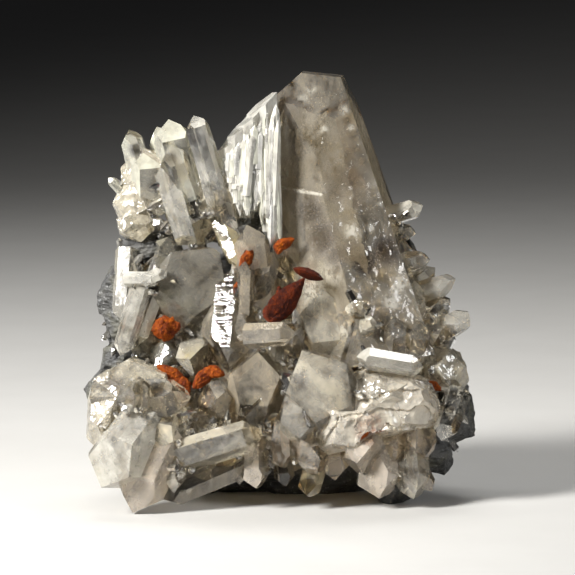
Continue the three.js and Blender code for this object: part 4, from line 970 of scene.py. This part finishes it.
def quartz_material():
    """Glass and milk mixed by the stored cloudiness, with growth lines, chips on broken faces and stains."""
    material, tree = fresh_material("quartz")
    place = attribute(tree, "place", "Vector")
    cloud, side = attribute(tree, "cloud"), attribute(tree, "side")
    broken = attribute(tree, "broken")
    tone = attribute(tree, "tone", "Color")
    position = add(tree, "TexCoord").outputs["Object"]

    wisps = noise(tree, stretched(tree, place, (0.13, 0.13, 0.10)), detail=4, rough=0.6, bend=0.8)
    flecks = noise(tree, stretched(tree, place, (0.7, 0.7, 0.6)), detail=4, rough=0.7)
    milky = sums(tree, "ADD", cloud, ranged(tree, wisps, 0.34, 0.68, -0.32, 0.30))
    milky = sums(tree, "ADD", milky, ranged(tree, flecks, 0.3, 0.75, -0.14, 0.16))
    # bright: real milky clouds and the white ledge, and painted light down the great crystal's shaded left side
    bright = sums(tree, "MULTIPLY", patches(tree, CLOUDS_AND_PAINTED_LIGHT, position), ranged(tree, flecks, 0.38, 0.54))
    ledge = strip(tree, LEDGE_LINE, 0.55, position)
    ledge = sums(tree, "MULTIPLY", ledge, ranged(tree, flecks, 0.30, 0.50, 0.35, 0.9))
    bright = sums(tree, "MAXIMUM", bright, ledge)
    milky = ranged(tree, sums(tree, "ADD", milky, sums(tree, "MULTIPLY", bright, 0.5)), 0.0, 1.0)
    clear_window_painted_dark = sums(tree, "MULTIPLY", patches(tree, CLEAR_WINDOWS_PAINTED_DARK, position), ranged(tree, flecks, 0.36, 0.46, 0.5, 1.0))
    milky = sums(tree, "MULTIPLY", milky, sums(tree, "SUBTRACT", 1.0, clear_window_painted_dark))

    clear = blended(tree, 0.45, (0.97, 0.96, 0.93), tone)
    colour = blended(tree, milky, clear, tone)
    smoke = noise(tree, stretched(tree, place, (0.09, 0.09, 0.06)), detail=3, rough=0.55, bend=1.2)
    colour = blended(tree, ranged(tree, smoke, 0.42, 0.70, 0.0, 0.55), colour, (0.22, 0.19, 0.13))
    # painted shade: the clear windows are tinted grey for the dark seen through them
    colour = blended(tree, sums(tree, "MULTIPLY", clear_window_painted_dark, 0.75), colour, (0.36, 0.34, 0.37))
    # whitens where bright is: real milky clouds, and painted light on the great crystal's shaded left side
    colour = blended(tree, sums(tree, "MULTIPLY", bright, 0.8), colour, WHITE)
    speck = ranged(tree, noise(tree, position, 2600, 4, 0.6), 0.60, 0.68)
    speck = sums(tree, "MULTIPLY", speck, patches(tree, SPECKLED, position))
    ragged = ranged(tree, noise(tree, position, 420, 3, 0.65), 0.36, 0.62)
    for spots, stain in ((BROWN_HAZE, HAZE), (OLIVE_STAINS, OLIVE_STAIN), (CLAY_STAINS, CLAY), (RUST_STAINS, RUST)):
        factor = sums(tree, "MULTIPLY", patches(tree, spots, position), ragged)
        colour = blended(tree, factor, colour, stain)
    colour = blended(tree, speck, colour, (0.07, 0.075, 0.06))

    grooves = noise(tree, stretched(tree, place, (0.06, 0.06, 2.4)), detail=3, rough=0.7)
    grooves = sums(tree, "MULTIPLY", grooves, side)
    normal = bumped(tree, grooves, 0.12 * MM, 0.22)
    threads = noise(tree, stretched(tree, place, (1.6, 1.6, 0.07)), detail=3, rough=0.7)
    normal = bumped(tree, sums(tree, "MULTIPLY", threads, attribute(tree, "fibre")), 0.3 * MM, 0.6, normal)
    wobble = noise(tree, stretched(tree, place, (0.35, 0.35, 0.35)), detail=2, rough=0.5)
    normal = bumped(tree, wobble, 0.5 * MM, 0.28, normal)
    bend = add(tree, "TexNoise", {"Vector": position, "Scale": 300.0}).outputs["Color"]
    bend = stretched(tree, bend, (2 * MM,) * 3)
    chips = cells(tree, add(tree, "VectorMath", {0: position, 1: bend}, operation="ADD").outputs[0], 520.0)
    normal = bumped(tree, sums(tree, "MULTIPLY", chips, broken), 0.5 * MM, 0.5, normal)

    seen_through = ranged(tree, milky, 0.0, 1.0, 0.99, 0.45)
    surface = add(tree, "BsdfPrincipled", {
        "Base Color": colour,
        "Roughness": ranged(tree, milky, 0.05, 0.9, 0.03, 0.26),
        "IOR": QUARTZ_BENDING,
        "Transmission Weight": sums(tree, "SUBTRACT", seen_through, sums(tree, "MULTIPLY", speck, 0.9)),
        "Coat Weight": 0.4,
        "Coat Roughness": 0.04,
        "Coat IOR": QUARTZ_BENDING,
        "Coat Normal": normal,
        "Normal": normal,
    })
    inside = add(tree, "VolumeAbsorption", {"Color": (0.86, 0.77, 0.58, 1), "Density": 62.0})
    output = add(tree, "OutputMaterial", {"Surface": surface.outputs[0], "Volume": inside.outputs[0]})
    print("quartz material:", len(tree.nodes), "nodes into", output.name)
    return material


quartz = quartz_material()
crystals = shown(quartz_mesh, "quartz_crystals", quartz, "quartz", "quartz_cluster")

# %% [markdown]
# ## The host rock
# The rock is a dark, scaly schist that glitters. A voxel remesh of the solid gives an even skin of small faces,
# and layered noise pushes each point in along its normal: hollows only, so the rock never outgrows its solid.

# %% The rock's rough skin
ROCK_GRAIN = 0.55 * MM


def rough_rock():
    """The solid's skin remeshed in small voxels, then sunk by coarse steps, scales and fine grain, but less and
    less over the lowest 1.2 mm, so that it still rests flat."""
    rough = bpy.data.objects.new("rock_to_remesh", merged_copy("host_rock", "rock_to_remesh"))
    bpy.context.scene.collection.objects.link(rough)
    remesh = rough.modifiers.new("even skin", "REMESH")
    remesh.mode = "VOXEL"
    remesh.voxel_size = ROCK_GRAIN
    graph = bpy.context.evaluated_depsgraph_get()
    mesh = bpy.data.meshes.new_from_object(rough.evaluated_get(graph))
    bpy.data.objects.remove(rough)
    points = points_of(mesh)
    reading = to_reading(points)
    leaves = reading * (0.6, 1.6, 0.9)
    depth = 0.34 * np.abs(layered_noise(leaves, 5.0, 3, 11)) + 0.30 * np.abs(layered_noise(leaves, 1.5, 3, 23))
    depth += 0.10 * (layered_noise(reading, 0.9, 2, 31) + 1)
    resting = np.clip(points[:, 2] / (1.2 * MM), 0, 1)
    sunk = points - normals_of(mesh) * (depth * MM * resting)[:, None]
    sunk[:, 2] = np.maximum(sunk[:, 2], 0)
    mesh.vertices.foreach_set("co", sunk.ravel())
    mesh.update()
    mesh.name = "rough_rock"
    mesh.materials.clear()
    print("rock skin:", len(mesh.polygons), "faces, deepest hollow", depth.max().round(2), "mm")
    return mesh


def rock_material():
    """Dark slate grey with olive grain, quartz dust in patches, and glossy flakes that catch the light, with a painted
    glint of paler grey on them.
    """
    material, tree = fresh_material("host_rock")
    position = add(tree, "TexCoord").outputs["Object"]
    flat = stretched(tree, position, (1.0, 1.0, 2.2))
    coarse = noise(tree, flat, 160, 8, 0.65, 0.6)
    fine = noise(tree, position, 1500, 6, 0.7)
    colour = blended(tree, ranged(tree, coarse, 0.34, 0.68), (0.010, 0.010, 0.010), (0.050, 0.049, 0.044))
    olive = ranged(tree, noise(tree, position, 210, 5), 0.52, 0.70, 0, 0.7)
    colour = blended(tree, olive, colour, (0.075, 0.072, 0.045))
    colour = blended(tree, ranged(tree, fine, 0.62, 0.76, 0, 0.8), colour, (0.24, 0.245, 0.24))
    flake = cells(tree, position, 3600, output="Color")
    shine = ranged(tree, add(tree, "SeparateColor", {"Color": flake}).outputs[0], 0.90, 0.94)
    shine = sums(tree, "MULTIPLY", shine, ranged(tree, noise(tree, flat, 330, 4, 0.7), 0.48, 0.62))
    # painted glint: the glossy flakes are also made paler grey
    colour = blended(tree, sums(tree, "MULTIPLY", shine, 0.4), colour, (0.45, 0.46, 0.46))
    normal = bumped(tree, cells(tree, flat, 700), 0.35 * MM, 0.8)
    normal = bumped(tree, fine, 0.18 * MM, 0.8, normal)
    surface = add(tree, "BsdfPrincipled", {
        "Base Color": colour, "Roughness": ranged(tree, shine, 0, 1, 0.62, 0.14), "IOR": 1.55, "Normal": normal})
    add(tree, "OutputMaterial", {"Surface": surface.outputs[0]})
    return material


rock = shown(rough_rock(), "rough_rock", rock_material(), "host_rock", "host_rock")

# %% [markdown]
# ## The iron carbonate blades
# Each blade is a thin lens with a leaf outline, weathered to rust. A lens is one function of two parameters:
# the way round the rim, and the way from the middle of one face over the rim to the middle of the other.
# Several leaves fanned through each other make the rosettes.

# %% A weathered leaf
AROUND = np.linspace(0, 2 * np.pi, 72, endpoint=False)
OVER = np.linspace(0, np.pi, 33)
DARK_BLADES = ("long_red_blade", "red_lens")


def leaf_points(size, leaf, key, roughness, power, sharp):
    """Rings from pole to pole. The outline is a curve whose cosine and sine are raised to a power: 1 gives an ellipse
    and 2 nearly a rhomb. One end is pulled narrow. The thickness falls toward the rim with a power of the radius:
    2 gives a lens, 5 a flat plate. Noise roughens it."""
    over, around = np.meshgrid(OVER, AROUND, indexing="ij")
    radius = np.sin(over) ** 0.8
    rim = np.stack([np.cos(around), np.sin(around), np.full_like(around, key)], -1)
    jag = 1 + 0.05 * smooth_noise(rim, 0.22, key)
    cos = np.sign(np.cos(around)) * np.abs(np.cos(around)) ** power[0]
    sin = np.sign(np.sin(around)) * np.abs(np.sin(around)) ** power[1]
    along = cos * radius * jag * size[0] / 2
    aside = sin * radius * jag * size[1] / 2 * (1 - leaf * cos)
    height = np.sign(np.cos(over)) * (1 - radius**sharp) * size[2] / 2
    points = np.stack([along, aside, height], -1)
    crumbs = layered_noise(points + key * 9.7, 0.5, 3, key)
    points[..., 2] += roughness * crumbs * np.abs(np.cos(over)) ** 0.5
    points[..., :2] *= 1 + 0.16 * roughness * crumbs[..., None]
    return points


def closed_rings(points, first=0):
    """Faces between rings of points, where the first and last ring are poles: quads cut in two, fans at the ends."""
    rows, columns = points.shape[:2]
    inner = first + 1 + np.arange((rows - 2) * columns).reshape(rows - 2, columns)
    flat = np.concatenate([points[0, :1], points[1:-1].reshape(-1, 3), points[-1, :1]])
    ahead = np.roll(inner, -1, axis=1)
    low, high, low_next, high_next = inner[:-1], inner[1:], ahead[:-1], ahead[1:]
    walls = np.concatenate([np.stack([low, high, high_next], -1).reshape(-1, 3),
                            np.stack([low, high_next, low_next], -1).reshape(-1, 3)])
    last = first + len(flat) - 1
    top = np.stack([np.full(columns, first), inner[0], ahead[0]], -1)
    bottom = np.stack([np.full(columns, last), ahead[-1], inner[-1]], -1)
    return flat, np.concatenate([top, walls, bottom])


def placed_leaf(points, centre, turn, swing):
    """Swings the leaf about its long axis, turns it in the front plane and sets it at its centre."""
    swing, turn = math.radians(swing), math.radians(turn)
    about_x = np.array([[1, 0, 0], [0, math.cos(swing), -math.sin(swing)], [0, math.sin(swing), math.cos(swing)]])
    about_z = np.array([[math.cos(turn), -math.sin(turn), 0], [math.sin(turn), math.cos(turn), 0], [0, 0, 1]])
    return points @ (about_z @ about_x).T + np.array(centre)


def leaf_kind(name):
    """The outline's two powers, the thickness's power, the roughness, and how the leaves of a row fan out: for
    each leaf a further turn, a further swing and a share of the thickness."""
    single = ((0, 0, 1.0),)
    if name == "red_lens":
        return (1.0, 1.0), 2.4, 0.08, single
    if name in DARK_BLADES:
        return (1.0, 1.2), 2.0, 0.08, single
    return (1.5, 1.5), 5.0, 0.22, ((0, 0, 0.9), (13, 14, 0.8), (-12, -16, 0.8))


def blade_group(name, rows):
    """All leaves of one group in one mesh. Each row gives a leaf, and a rusty row two more fanned through it."""
    power, sharp, roughness, fan = leaf_kind(name)
    points, faces, first = [], [], 0
    for number, row in enumerate(rows):
        for spread, (more_turn, more_swing, slim) in enumerate(fan):
            long, wide, thick = row["size"]
            size = (long * (0.98 - 0.12 * spread), wide * (0.98 - 0.14 * spread), thick * slim)
            leaf = leaf_points(size, row["leaf"], number * 5 + spread + len(name), roughness, power, sharp)
            leaf = placed_leaf(leaf, row["centre"], row["turn"] + more_turn, row["swing"] + more_swing)
            flat, closed = closed_rings(leaf, first)
            points.append(flat)
            faces.append(closed)
            first += len(flat)
    return new_mesh(name + "_leaves", standing(np.concatenate(points)), np.concatenate(faces))


def iron_material(name, dark, bright, edge):
    """Grainy rust: dark and bright crumbs, paler where the grain stands highest and darker where it lies lowest, dull
    with a few glossy grains.
    """
    material, tree = fresh_material(name)
    position = add(tree, "TexCoord").outputs["Object"]
    crumbs = noise(tree, position, 1900, 8, 0.7)
    clouds = noise(tree, position, 420, 4, 0.6)
    colour = blended(tree, ranged(tree, clouds, 0.38, 0.64), dark, bright)
    colour = blended(tree, ranged(tree, crumbs, 0.52, 0.72, 0, 0.9), colour, edge)
    colour = blended(tree, ranged(tree, crumbs, 0.30, 0.44, 0.8, 0), colour, tuple(value * 0.35 for value in dark))
    normal = bumped(tree, crumbs, 0.22 * MM, 0.9)
    normal = bumped(tree, cells(tree, position, 2600), 0.08 * MM, 0.7, normal)
    surface = add(tree, "BsdfPrincipled", {
        "Base Color": colour, "Roughness": ranged(tree, crumbs, 0.3, 0.7, 0.5, 0.9), "IOR": 1.45,
        "Specular IOR Level": 0.15, "Normal": normal})
    add(tree, "OutputMaterial", {"Surface": surface.outputs[0]})
    return material


DARK_RED = ("dark_red_iron_carbonate", (0.022, 0.003, 0.001), (0.074, 0.010, 0.001), (0.16, 0.028, 0.003))
RUSTY = ("rusty_iron_carbonate", (0.07, 0.010, 0.0015), (0.23, 0.044, 0.002), (0.40, 0.112, 0.006))
irons = {finish[0]: iron_material(*finish) for finish in (DARK_RED, RUSTY)}
for name, rows in BLADES.items():
    finish = DARK_RED[0] if name in DARK_BLADES else RUSTY[0]
    shown(blade_group(name, rows), name + "_leaves", irons[finish], finish, name, smooth=True)

# %% [markdown]
# ## Small crystals in the crevices
# Between the big crystals, a cluster is lined with hundreds of tiny ones. Each is the same small prism with a
# point, so they are made as one joined mesh from arrays. Rays cast round a point of the skin tell whether it
# lies in a hollow; a crystal grows there toward the open side, and no longer than the room that it has.


# %% Tiny crystals from arrays
FOOT_POINT, TIP_POINT, POINTS_EACH, FACES_EACH = 12, 13, 14, 24
FULL_TURN = 6.283


def tiny_crystals(roots, axes, lengths, widths, rolls, points_share):
    """For each root two rings of six points, a foot point and a tip: the ring angle turns by sixths round the axis,
    the first ring lies at the foot and the second at the shoulder, below the point. All crystals at once. The third
    result is each point's place in its own crystal's frame."""
    guide = np.where(np.abs(axes[:, 1:2]) > 0.8, FRONT, UP)
    right = np.cross(axes, guide)
    right /= np.linalg.norm(right, axis=1, keepdims=True)
    front = np.cross(right, axes)
    ring = np.arange(6)
    angle = rolls[:, None] + ring * np.pi / 3
    cos, sin = np.cos(angle), np.sin(angle)
    uneven = 0.86 + 0.28 * grain(np.arange(len(roots))[:, None] * 6 + ring)
    out = (cos[..., None] * right[:, None] + sin[..., None] * front[:, None]) * (widths / 2)[:, None, None]
    out *= uneven[..., None]
    shoulder = (1 - points_share) * lengths
    low = roots[:, None] + out * 1.06
    high = roots[:, None] + out * 0.94 + axes[:, None] * shoulder[:, None, None]
    tip = roots + axes * lengths[:, None] + out[:, 0] * 0.15
    points = np.concatenate([low, high, roots[:, None], tip[:, None]], 1)
    ahead = (ring + 1) % 6
    foot_point, tip_point = np.full(6, FOOT_POINT), np.full(6, TIP_POINT)
    pattern = np.concatenate([
        np.stack([ring, ahead, ahead + 6], 1), np.stack([ring, ahead + 6, ring + 6], 1),
        np.stack([foot_point, ahead, ring], 1), np.stack([tip_point, ring + 6, ahead + 6], 1)])
    faces = pattern[None] + (np.arange(len(roots)) * POINTS_EACH)[:, None, None]
    local = np.zeros((len(roots), POINTS_EACH, 3))
    local[:, :FOOT_POINT, 0], local[:, :FOOT_POINT, 1] = np.tile(cos, 2), np.tile(sin, 2)
    local[:, 6:FOOT_POINT, 2] = shoulder[:, None]
    local[:, TIP_POINT, 2] = lengths
    local[..., :2] *= (widths / 2)[:, None, None]
    return points.reshape(-1, 3), faces.reshape(-1, 3), local.reshape(-1, 3)


def joined_crystals(name, shape, cloud, shades, seeds, side, fibre):
    """One joined mesh of tiny crystals. Each has its own milkiness and tone, drawn by a grain of its number."""
    points, faces, local = tiny_crystals(*shape)
    mesh = new_mesh(name, standing(points), faces)
    count = len(shape[0])
    body = np.repeat(np.arange(count), FACES_EACH * 3)
    picked = np.array(shades)[(grain(np.arange(count) + seeds[1]) * len(shades)).astype(int)][body]
    material_values(mesh, local[faces.ravel()] + grain(body)[:, None] * DRIFT,
                    cloud[0] + cloud[1] * grain(body + seeds[0]), picked, side, fibre, 0)
    shown(mesh, name, quartz, "quartz")


def sampled_skin(points, triangles, count, seed):
    """Evenly spread points on a skin: triangles drawn by their area, and a place in each by two fractions."""
    draw = np.random.default_rng(seed)
    a, b, c = points[triangles[:, 0]], points[triangles[:, 1]], points[triangles[:, 2]]
    normal = np.cross(b - a, c - a)
    area = np.linalg.norm(normal, axis=1)
    chosen = draw.choice(len(triangles), count, p=area / area.sum())
    first, second = draw.random((2, count, 1))
    fold = first + second > 1
    first, second = np.where(fold, 1 - first, first), np.where(fold, 1 - second, second)
    spot = a[chosen] * (1 - first - second) + b[chosen] * first + c[chosen] * second
    return spot, normal[chosen] / np.maximum(area[chosen], 1e-9)[:, None], chosen


GOLDEN_ANGLE = 2.39996
BALL = np.array([[math.cos(n * GOLDEN_ANGLE) * math.sqrt(1 - h * h),
                  math.sin(n * GOLDEN_ANGLE) * math.sqrt(1 - h * h), h]
                 for n, h in enumerate(np.linspace(0.96, -0.96, 26))])
rock_points = to_reading(points_of(frame["nodes"]["host_rock"].data))
rock_triangles = triangles_of(frame["nodes"]["host_rock"].data)
everything = BVHTree.FromPolygons(np.concatenate([corners, rock_points]).tolist(),
                                  np.concatenate([triangles, rock_triangles + len(corners)]).tolist())


def room_around(spot, normal, reach=7.0):
    """Share of rays over the skin that hit something near, and the mean way of those that do not."""
    start = Vector(spot + normal * 0.05)
    ways = BALL[BALL @ normal > 0.15]
    open_way, hits = np.zeros(3), 0
    for way in ways:
        if everything.ray_cast(start, Vector(way), reach)[0] is None:
            open_way += way
        else:
            hits += 1
    return hits / len(ways), open_way


def crevice_crystals(points, triangles, count, seed, keep):
    """Grows crystals at the sampled places that lie in hollows, each toward the open side and into free room."""
    spots, normals, chosen = sampled_skin(points, triangles, count, seed)
    draw = np.random.default_rng(seed + 1)
    roots, axes, lengths, widths = [], [], [], []
    for spot, normal, face in zip(spots, normals, chosen):
        chance, length, width = draw.random(), draw.gamma(3.0, 0.62) + 0.8, draw.gamma(4.0, 0.22) + 0.5
        wander = draw.normal(0, 0.32, 3)
        if not keep(spot, face):
            continue
        shut, open_way = room_around(spot, normal)
        if not 0.38 < shut < 0.93 or chance > shut:
            continue
        axis = unit(unit(open_way) + normal * 0.5 + wander)
        free = everything.ray_cast(Vector(spot + normal * 0.08), Vector(axis), 8.0)[3]
        length = min(length, 0.85 * free if free else length)
        if length < 0.5:
            continue
        roots.append(spot - axis * 0.3)
        axes.append(axis)
        lengths.append(length + 0.3)
        widths.append(min(width, length * 0.7))
    return [np.array(values) for values in (roots, axes, lengths, widths)]


no_growth = (owner == 0) | (kinds[owner] == "growth") | (kinds[owner] == "shell")


def keep_on_quartz(spot, face):
    """Not on the great crystal and its white growths, and on the others only near their feet."""
    body = owner[face]
    along = (spot - roots[body]) @ frames[body][2] / lengths[body]
    return not no_growth[face] and (kinds[body] == "lump" or along < 0.42)


grown = [crevice_crystals(corners, triangles, 5200, 5, keep_on_quartz),
         crevice_crystals(rock_points, rock_triangles, 900, 9, lambda spot, face: True)]
small_roots, small_axes, small_lengths, small_widths = [np.concatenate(values) for values in zip(*grown)]
low_corner, high_corner = (np.array(corner) for corner in solid_box)
tips = standing(small_roots + small_axes * small_lengths[:, None])
inside = ((tips > low_corner + 0.5 * MM) & (tips < high_corner - 0.5 * MM)).all(1)
inside &= standing(small_roots)[:, 2] > 1.5 * MM
small_shape = [values[inside] for values in (small_roots, small_axes, small_lengths, small_widths)]
count = len(small_shape[0])
print(count, "small crystals, up to", small_shape[2].max().round(1), "mm long")

# %% One joined mesh of them
draw = np.random.default_rng(17)
small_shape += [draw.random(count) * FULL_TURN, 0.22 + 0.2 * draw.random(count)]
joined_crystals("crevice_crystals", small_shape, cloud=(0.05, 0.45), shades=(WHITE, CREAM, GREY, CREAM, WARM, WHITE),
                seeds=(500, 900), side=np.tile(np.repeat([1, 1, 0, 0], 18), count), fibre=0)

# %% [markdown]
# ## White threads beside the great crystal
# The left side of the great crystal is lined with thin white crystals that all stand parallel, like threads.
# Their tops follow a slope and their lower ends hang at uneven heights, some drawn out to teeth.

# %% Threads from the same arrays
THREADS = 170
# across, and the height there of the threads' uneven lower ends
LOWER_ENDS = ((-12, 70), (-11, 68), (-8.6, 60.6), (-6, 60.4), (-4.6, 62), (-2.8, 56), (-2.0, 53.4), (-0.8, 52))


def toward_viewer(across, up):
    """How far toward the viewer the piece reaches there, and 3 where a ray meets nothing."""
    hit = everything.ray_cast(Vector((across, up, 40)), Vector((0, 0, -1)))[0]
    return 3 if hit is None else hit[2]


draw = np.random.default_rng(29)
across = draw.uniform(-11.8, -0.9, THREADS)
top = 83.2 + 1.08 * across - np.abs(draw.normal(0, 1.9, THREADS))
bottom = np.interp(across, *zip(*LOWER_ENDS)) + draw.normal(0, 1.0, THREADS)
length = (top - bottom) * draw.uniform(0.45, 1.0, THREADS)
hanging = draw.random(THREADS) < 0.55
start = np.where(hanging, bottom + length, np.maximum(bottom, top - length))
middle_height = start + np.where(hanging, -0.5, 0.5) * length
skin = np.array([toward_viewer(*place) for place in zip(across, middle_height)])
thread_roots = np.stack([across, start, np.clip(skin, 1.5, 8.2) - 0.05], 1)
lean = draw.normal(0, 0.025, (THREADS, 2))
thread_axes = np.stack([lean[:, 0] + 0.02, np.where(hanging, -1.0, 1.0), lean[:, 1]], 1)
thread_axes /= np.linalg.norm(thread_axes, axis=1, keepdims=True)
thread_shape = (thread_roots, thread_axes, length, draw.uniform(0.6, 1.9, THREADS),
                draw.random(THREADS) * FULL_TURN, draw.uniform(0.08, 0.3, THREADS))
joined_crystals("white_threads", thread_shape, cloud=(0.62, 0.38), shades=((0.90, 0.89, 0.83), WHITE, GREENISH),
                seeds=(300, 700), side=0, fibre=1)

# %% [markdown]
# ## Veils inside the great crystal
# Healed cracks in quartz are curved sheets of tiny bubbles that shine where the light meets them flat. Each
# sheet is a bent grid from which most cells are left out by noise, so a cloud of small flakes stays.


# %% Veils of flakes
FLAKE_CORNERS = ((1, 0.2), (-0.1, 0.8), (-0.9, -0.1), (0.2, -0.7))
VEIL_DEPTH = 1.0


def veil(middle, along, across, size, bend, seed, count):
    """Small four-cornered flakes scattered over a bent sheet: two fractions give the place on the sheet, and the
    square of the way across lifts it out of its plane. Noise thins the flakes toward the rim."""
    draw = np.random.default_rng(seed)
    along, across = unit(along), unit(np.subtract(across, np.dot(across, unit(along)) * unit(along)))
    up = np.cross(along, across)
    first, second = draw.uniform(-1, 1, (2, count))
    torn = layered_noise(np.stack([first * 3, second * 3, np.zeros(count)], 1), 0.8, 2, seed)
    stay = (torn > -0.15) & (first**2 + second**2 < 1)
    first, second = first[stay], second[stay]
    waves = smooth_noise(np.stack([first * 4, second * 4, first * 0], 1), 1, seed)
    lift = bend * (first**2 - 0.6 * second**2) + 0.25 * waves
    place = np.array(middle) + along * (first * size[0])[:, None] + across * (second * size[1])[:, None]
    place += up * lift[:, None]
    reach = 0.05 + 0.16 * draw.random(len(first)) ** 2
    tilt = draw.normal(0, 0.35, (len(first), 2))
    one = along + up * tilt[:, :1]
    two = across + up * tilt[:, 1:]
    spin = (draw.random(len(first)) * np.pi)[:, None]
    one, two = one * np.cos(spin) + two * np.sin(spin), two * np.cos(spin) - one * np.sin(spin)
    four = [place + one * reach[:, None] * a + two * reach[:, None] * b for a, b in FLAKE_CORNERS]
    return np.stack(four, 1).reshape(-1, 3)


VEILS = [
    # middle, along, across, half size, bend, flakes
    ((8.0, 78.0, 0.0), (0.2, 1, 0.1), (1, 0, 0.4), (6.0, 3.6), 1.2, 900),
    ((4.0, 71.0, 2.0), (-0.2, 1, 0.2), (1, 0, -0.5), (7.0, 3.0), -1.4, 900),
    ((12.0, 66.0, 0.0), (0.7, 0.7, 0.1), (0.7, -0.7, 0.4), (6.4, 3.0), 1.6, 900),
    ((15.0, 58.0, -2.0), (0.3, 1, 0.0), (1, -0.2, 0.4), (8.0, 3.4), 1.2, 900),
    ((7.0, 59.0, 3.0), (1, 0.2, 0.1), (0, 1, 0.4), (5.0, 3.4), -1.0, 800),
    ((12.6, 83.0, 0.0), (-0.3, 1, 0), (1, 0.2, 0.3), (3.6, 1.6), 0.8, 500),
    ((9.0, 51.0, 4.0), (1, 0.5, 0), (0, 1, 0.5), (6.4, 3.4), 1.0, 900),
    ((2.0, 64.0, 3.6), (0, 1, 0.1), (1, 0.1, 0.3), (4.2, 2.2), 0.8, 500),
    ((17.0, 50.0, 0.0), (0.5, 1, 0), (1, -0.4, 0.4), (5.4, 3.0), 1.3, 700),
    ((10.0, 73.0, -4.0), (1, 0.4, 0.2), (0, 1, 0.3), (5.6, 3.6), 1.5, 800),
]
flakes = np.concatenate([veil(*row[:5], number + 60, row[5]) for number, row in enumerate(VEILS)])
out_of_skin = (flakes @ BODIES[0]["planes"][:, :3].T - BODIES[0]["planes"][:, 3]).max(1)
deep = out_of_skin.reshape(-1, 4).max(1) < -VEIL_DEPTH
flakes = flakes.reshape(-1, 4, 3)[deep].reshape(-1, 3)
flat_faces = np.arange(len(flakes)).reshape(-1, 4)


def veil_material():
    """White flakes that let most light by: a thin glossy film over a translucent one."""
    material, tree = fresh_material("bubble_veil")
    position = add(tree, "TexCoord").outputs["Object"]
    fade = ranged(tree, noise(tree, position, 700, 4), 0.4, 0.65)
    colour = blended(tree, fade, (0.92, 0.90, 0.86), (0.66, 0.60, 0.50))
    surface = add(tree, "BsdfPrincipled", {"Base Color": colour, "Roughness": 0.12, "Alpha": 0.45, "IOR": 1.9,
                                           "Normal": bumped(tree, noise(tree, position, 4000, 2), 0.05 * MM)})
    add(tree, "OutputMaterial", {"Surface": surface.outputs[0]})
    return material


shown(new_mesh("bubble_veils", standing(flakes), flat_faces), "bubble_veils", veil_material(), "quartz")

# %% [markdown]
# ## Floor, light and camera
# The floor is plain and pale. Four soft lamps stand close to the piece, so the floor far behind it falls into
# shade, and the crystals' edges and faces stand out against it. The camera looks down by eight degrees from far
# away with a long lens, which is how the piece was photographed.


# %% Stage
FLOOR_REACH = 2.5
MIDDLE = (0, 0, 0.04)


def floor():
    """A wide plain sheet at height nought, slightly uneven in tone."""
    corners = np.array([(-1, -1, 0), (1, -1, 0), (1, 1, 0), (-1, 1, 0)]) * FLOOR_REACH
    mesh = new_mesh("floor", corners, np.array([(0, 1, 2, 3)]))
    material, tree = fresh_material("pale_floor")
    position = add(tree, "TexCoord").outputs["Object"]
    grainy = noise(tree, position, 60, 4)
    surface = add(tree, "BsdfPrincipled", {
        "Base Color": blended(tree, grainy, (0.42, 0.415, 0.40), (0.46, 0.455, 0.44)), "Roughness": 0.7,
        "Normal": bumped(tree, noise(tree, position, 900, 3), 0.1 * MM, 0.3)})
    add(tree, "OutputMaterial", {"Surface": surface.outputs[0]})
    piece = bpy.data.objects.new("floor", mesh)
    piece.data.materials.append(material)
    bpy.context.scene.collection.objects.link(piece)


def lamp(name, place, size, watts, colour=(1, 1, 1), spread=120):
    """A soft rectangular lamp that shines at the middle of the piece."""
    light = bpy.data.lights.new(name, "AREA")
    light.shape, light.size, light.size_y = "RECTANGLE", size[0], size[1]
    light.energy, light.color, light.spread = watts, colour, math.radians(spread)
    piece = bpy.data.objects.new(name, light)
    piece.location = place
    piece.rotation_euler = (Vector(MIDDLE) - Vector(place)).to_track_quat("-Z", "Y").to_euler()
    bpy.context.scene.collection.objects.link(piece)


floor()
lamp("key_left", (-0.38, -0.27, 0.33), (0.14, 0.20), 3.2, (1.0, 0.98, 0.95), 80)
lamp("fill_right", (0.42, -0.26, 0.22), (0.12, 0.22), 0.8, (0.97, 0.985, 1.0))
lamp("top_back", (0.02, 0.22, 0.46), (0.30, 0.12), 1.0, (1.0, 0.99, 0.97))
lamp("rim_left", (-0.42, 0.24, 0.16), (0.06, 0.26), 0.9, (1.0, 1.0, 1.0))
world = bpy.data.worlds.new("studio")
world.use_nodes = True
world.node_tree.nodes["Background"].inputs["Color"].default_value = (0.02, 0.02, 0.021, 1)
bpy.context.scene.world = world

# %% Camera
TARGET = np.array([1.685, 0.241, 42.03]) * MM
DISTANCE = 1311.4 * MM
camera_data = bpy.data.cameras.new("camera")
camera_data.lens, camera_data.sensor_width = 407.0, 36.0
camera_data.clip_start, camera_data.clip_end = 0.05, 20.0
camera = bpy.data.objects.new("camera", camera_data)
camera.location = TARGET - DISTANCE * np.array([0, math.cos(LOOK_DOWN), -math.sin(LOOK_DOWN)])
camera.rotation_euler = (math.radians(90 - 8), 0, 0)
bpy.context.scene.collection.objects.link(camera)
bpy.context.scene.camera = camera
view, light_paths = bpy.context.scene.view_settings, bpy.context.scene.cycles
view.view_transform, view.exposure = "Standard", -0.78
light_paths.max_bounces, light_paths.transmission_bounces, light_paths.transparent_max_bounces = 8, 7, 16
print("camera at", [round(value, 4) for value in camera.location])
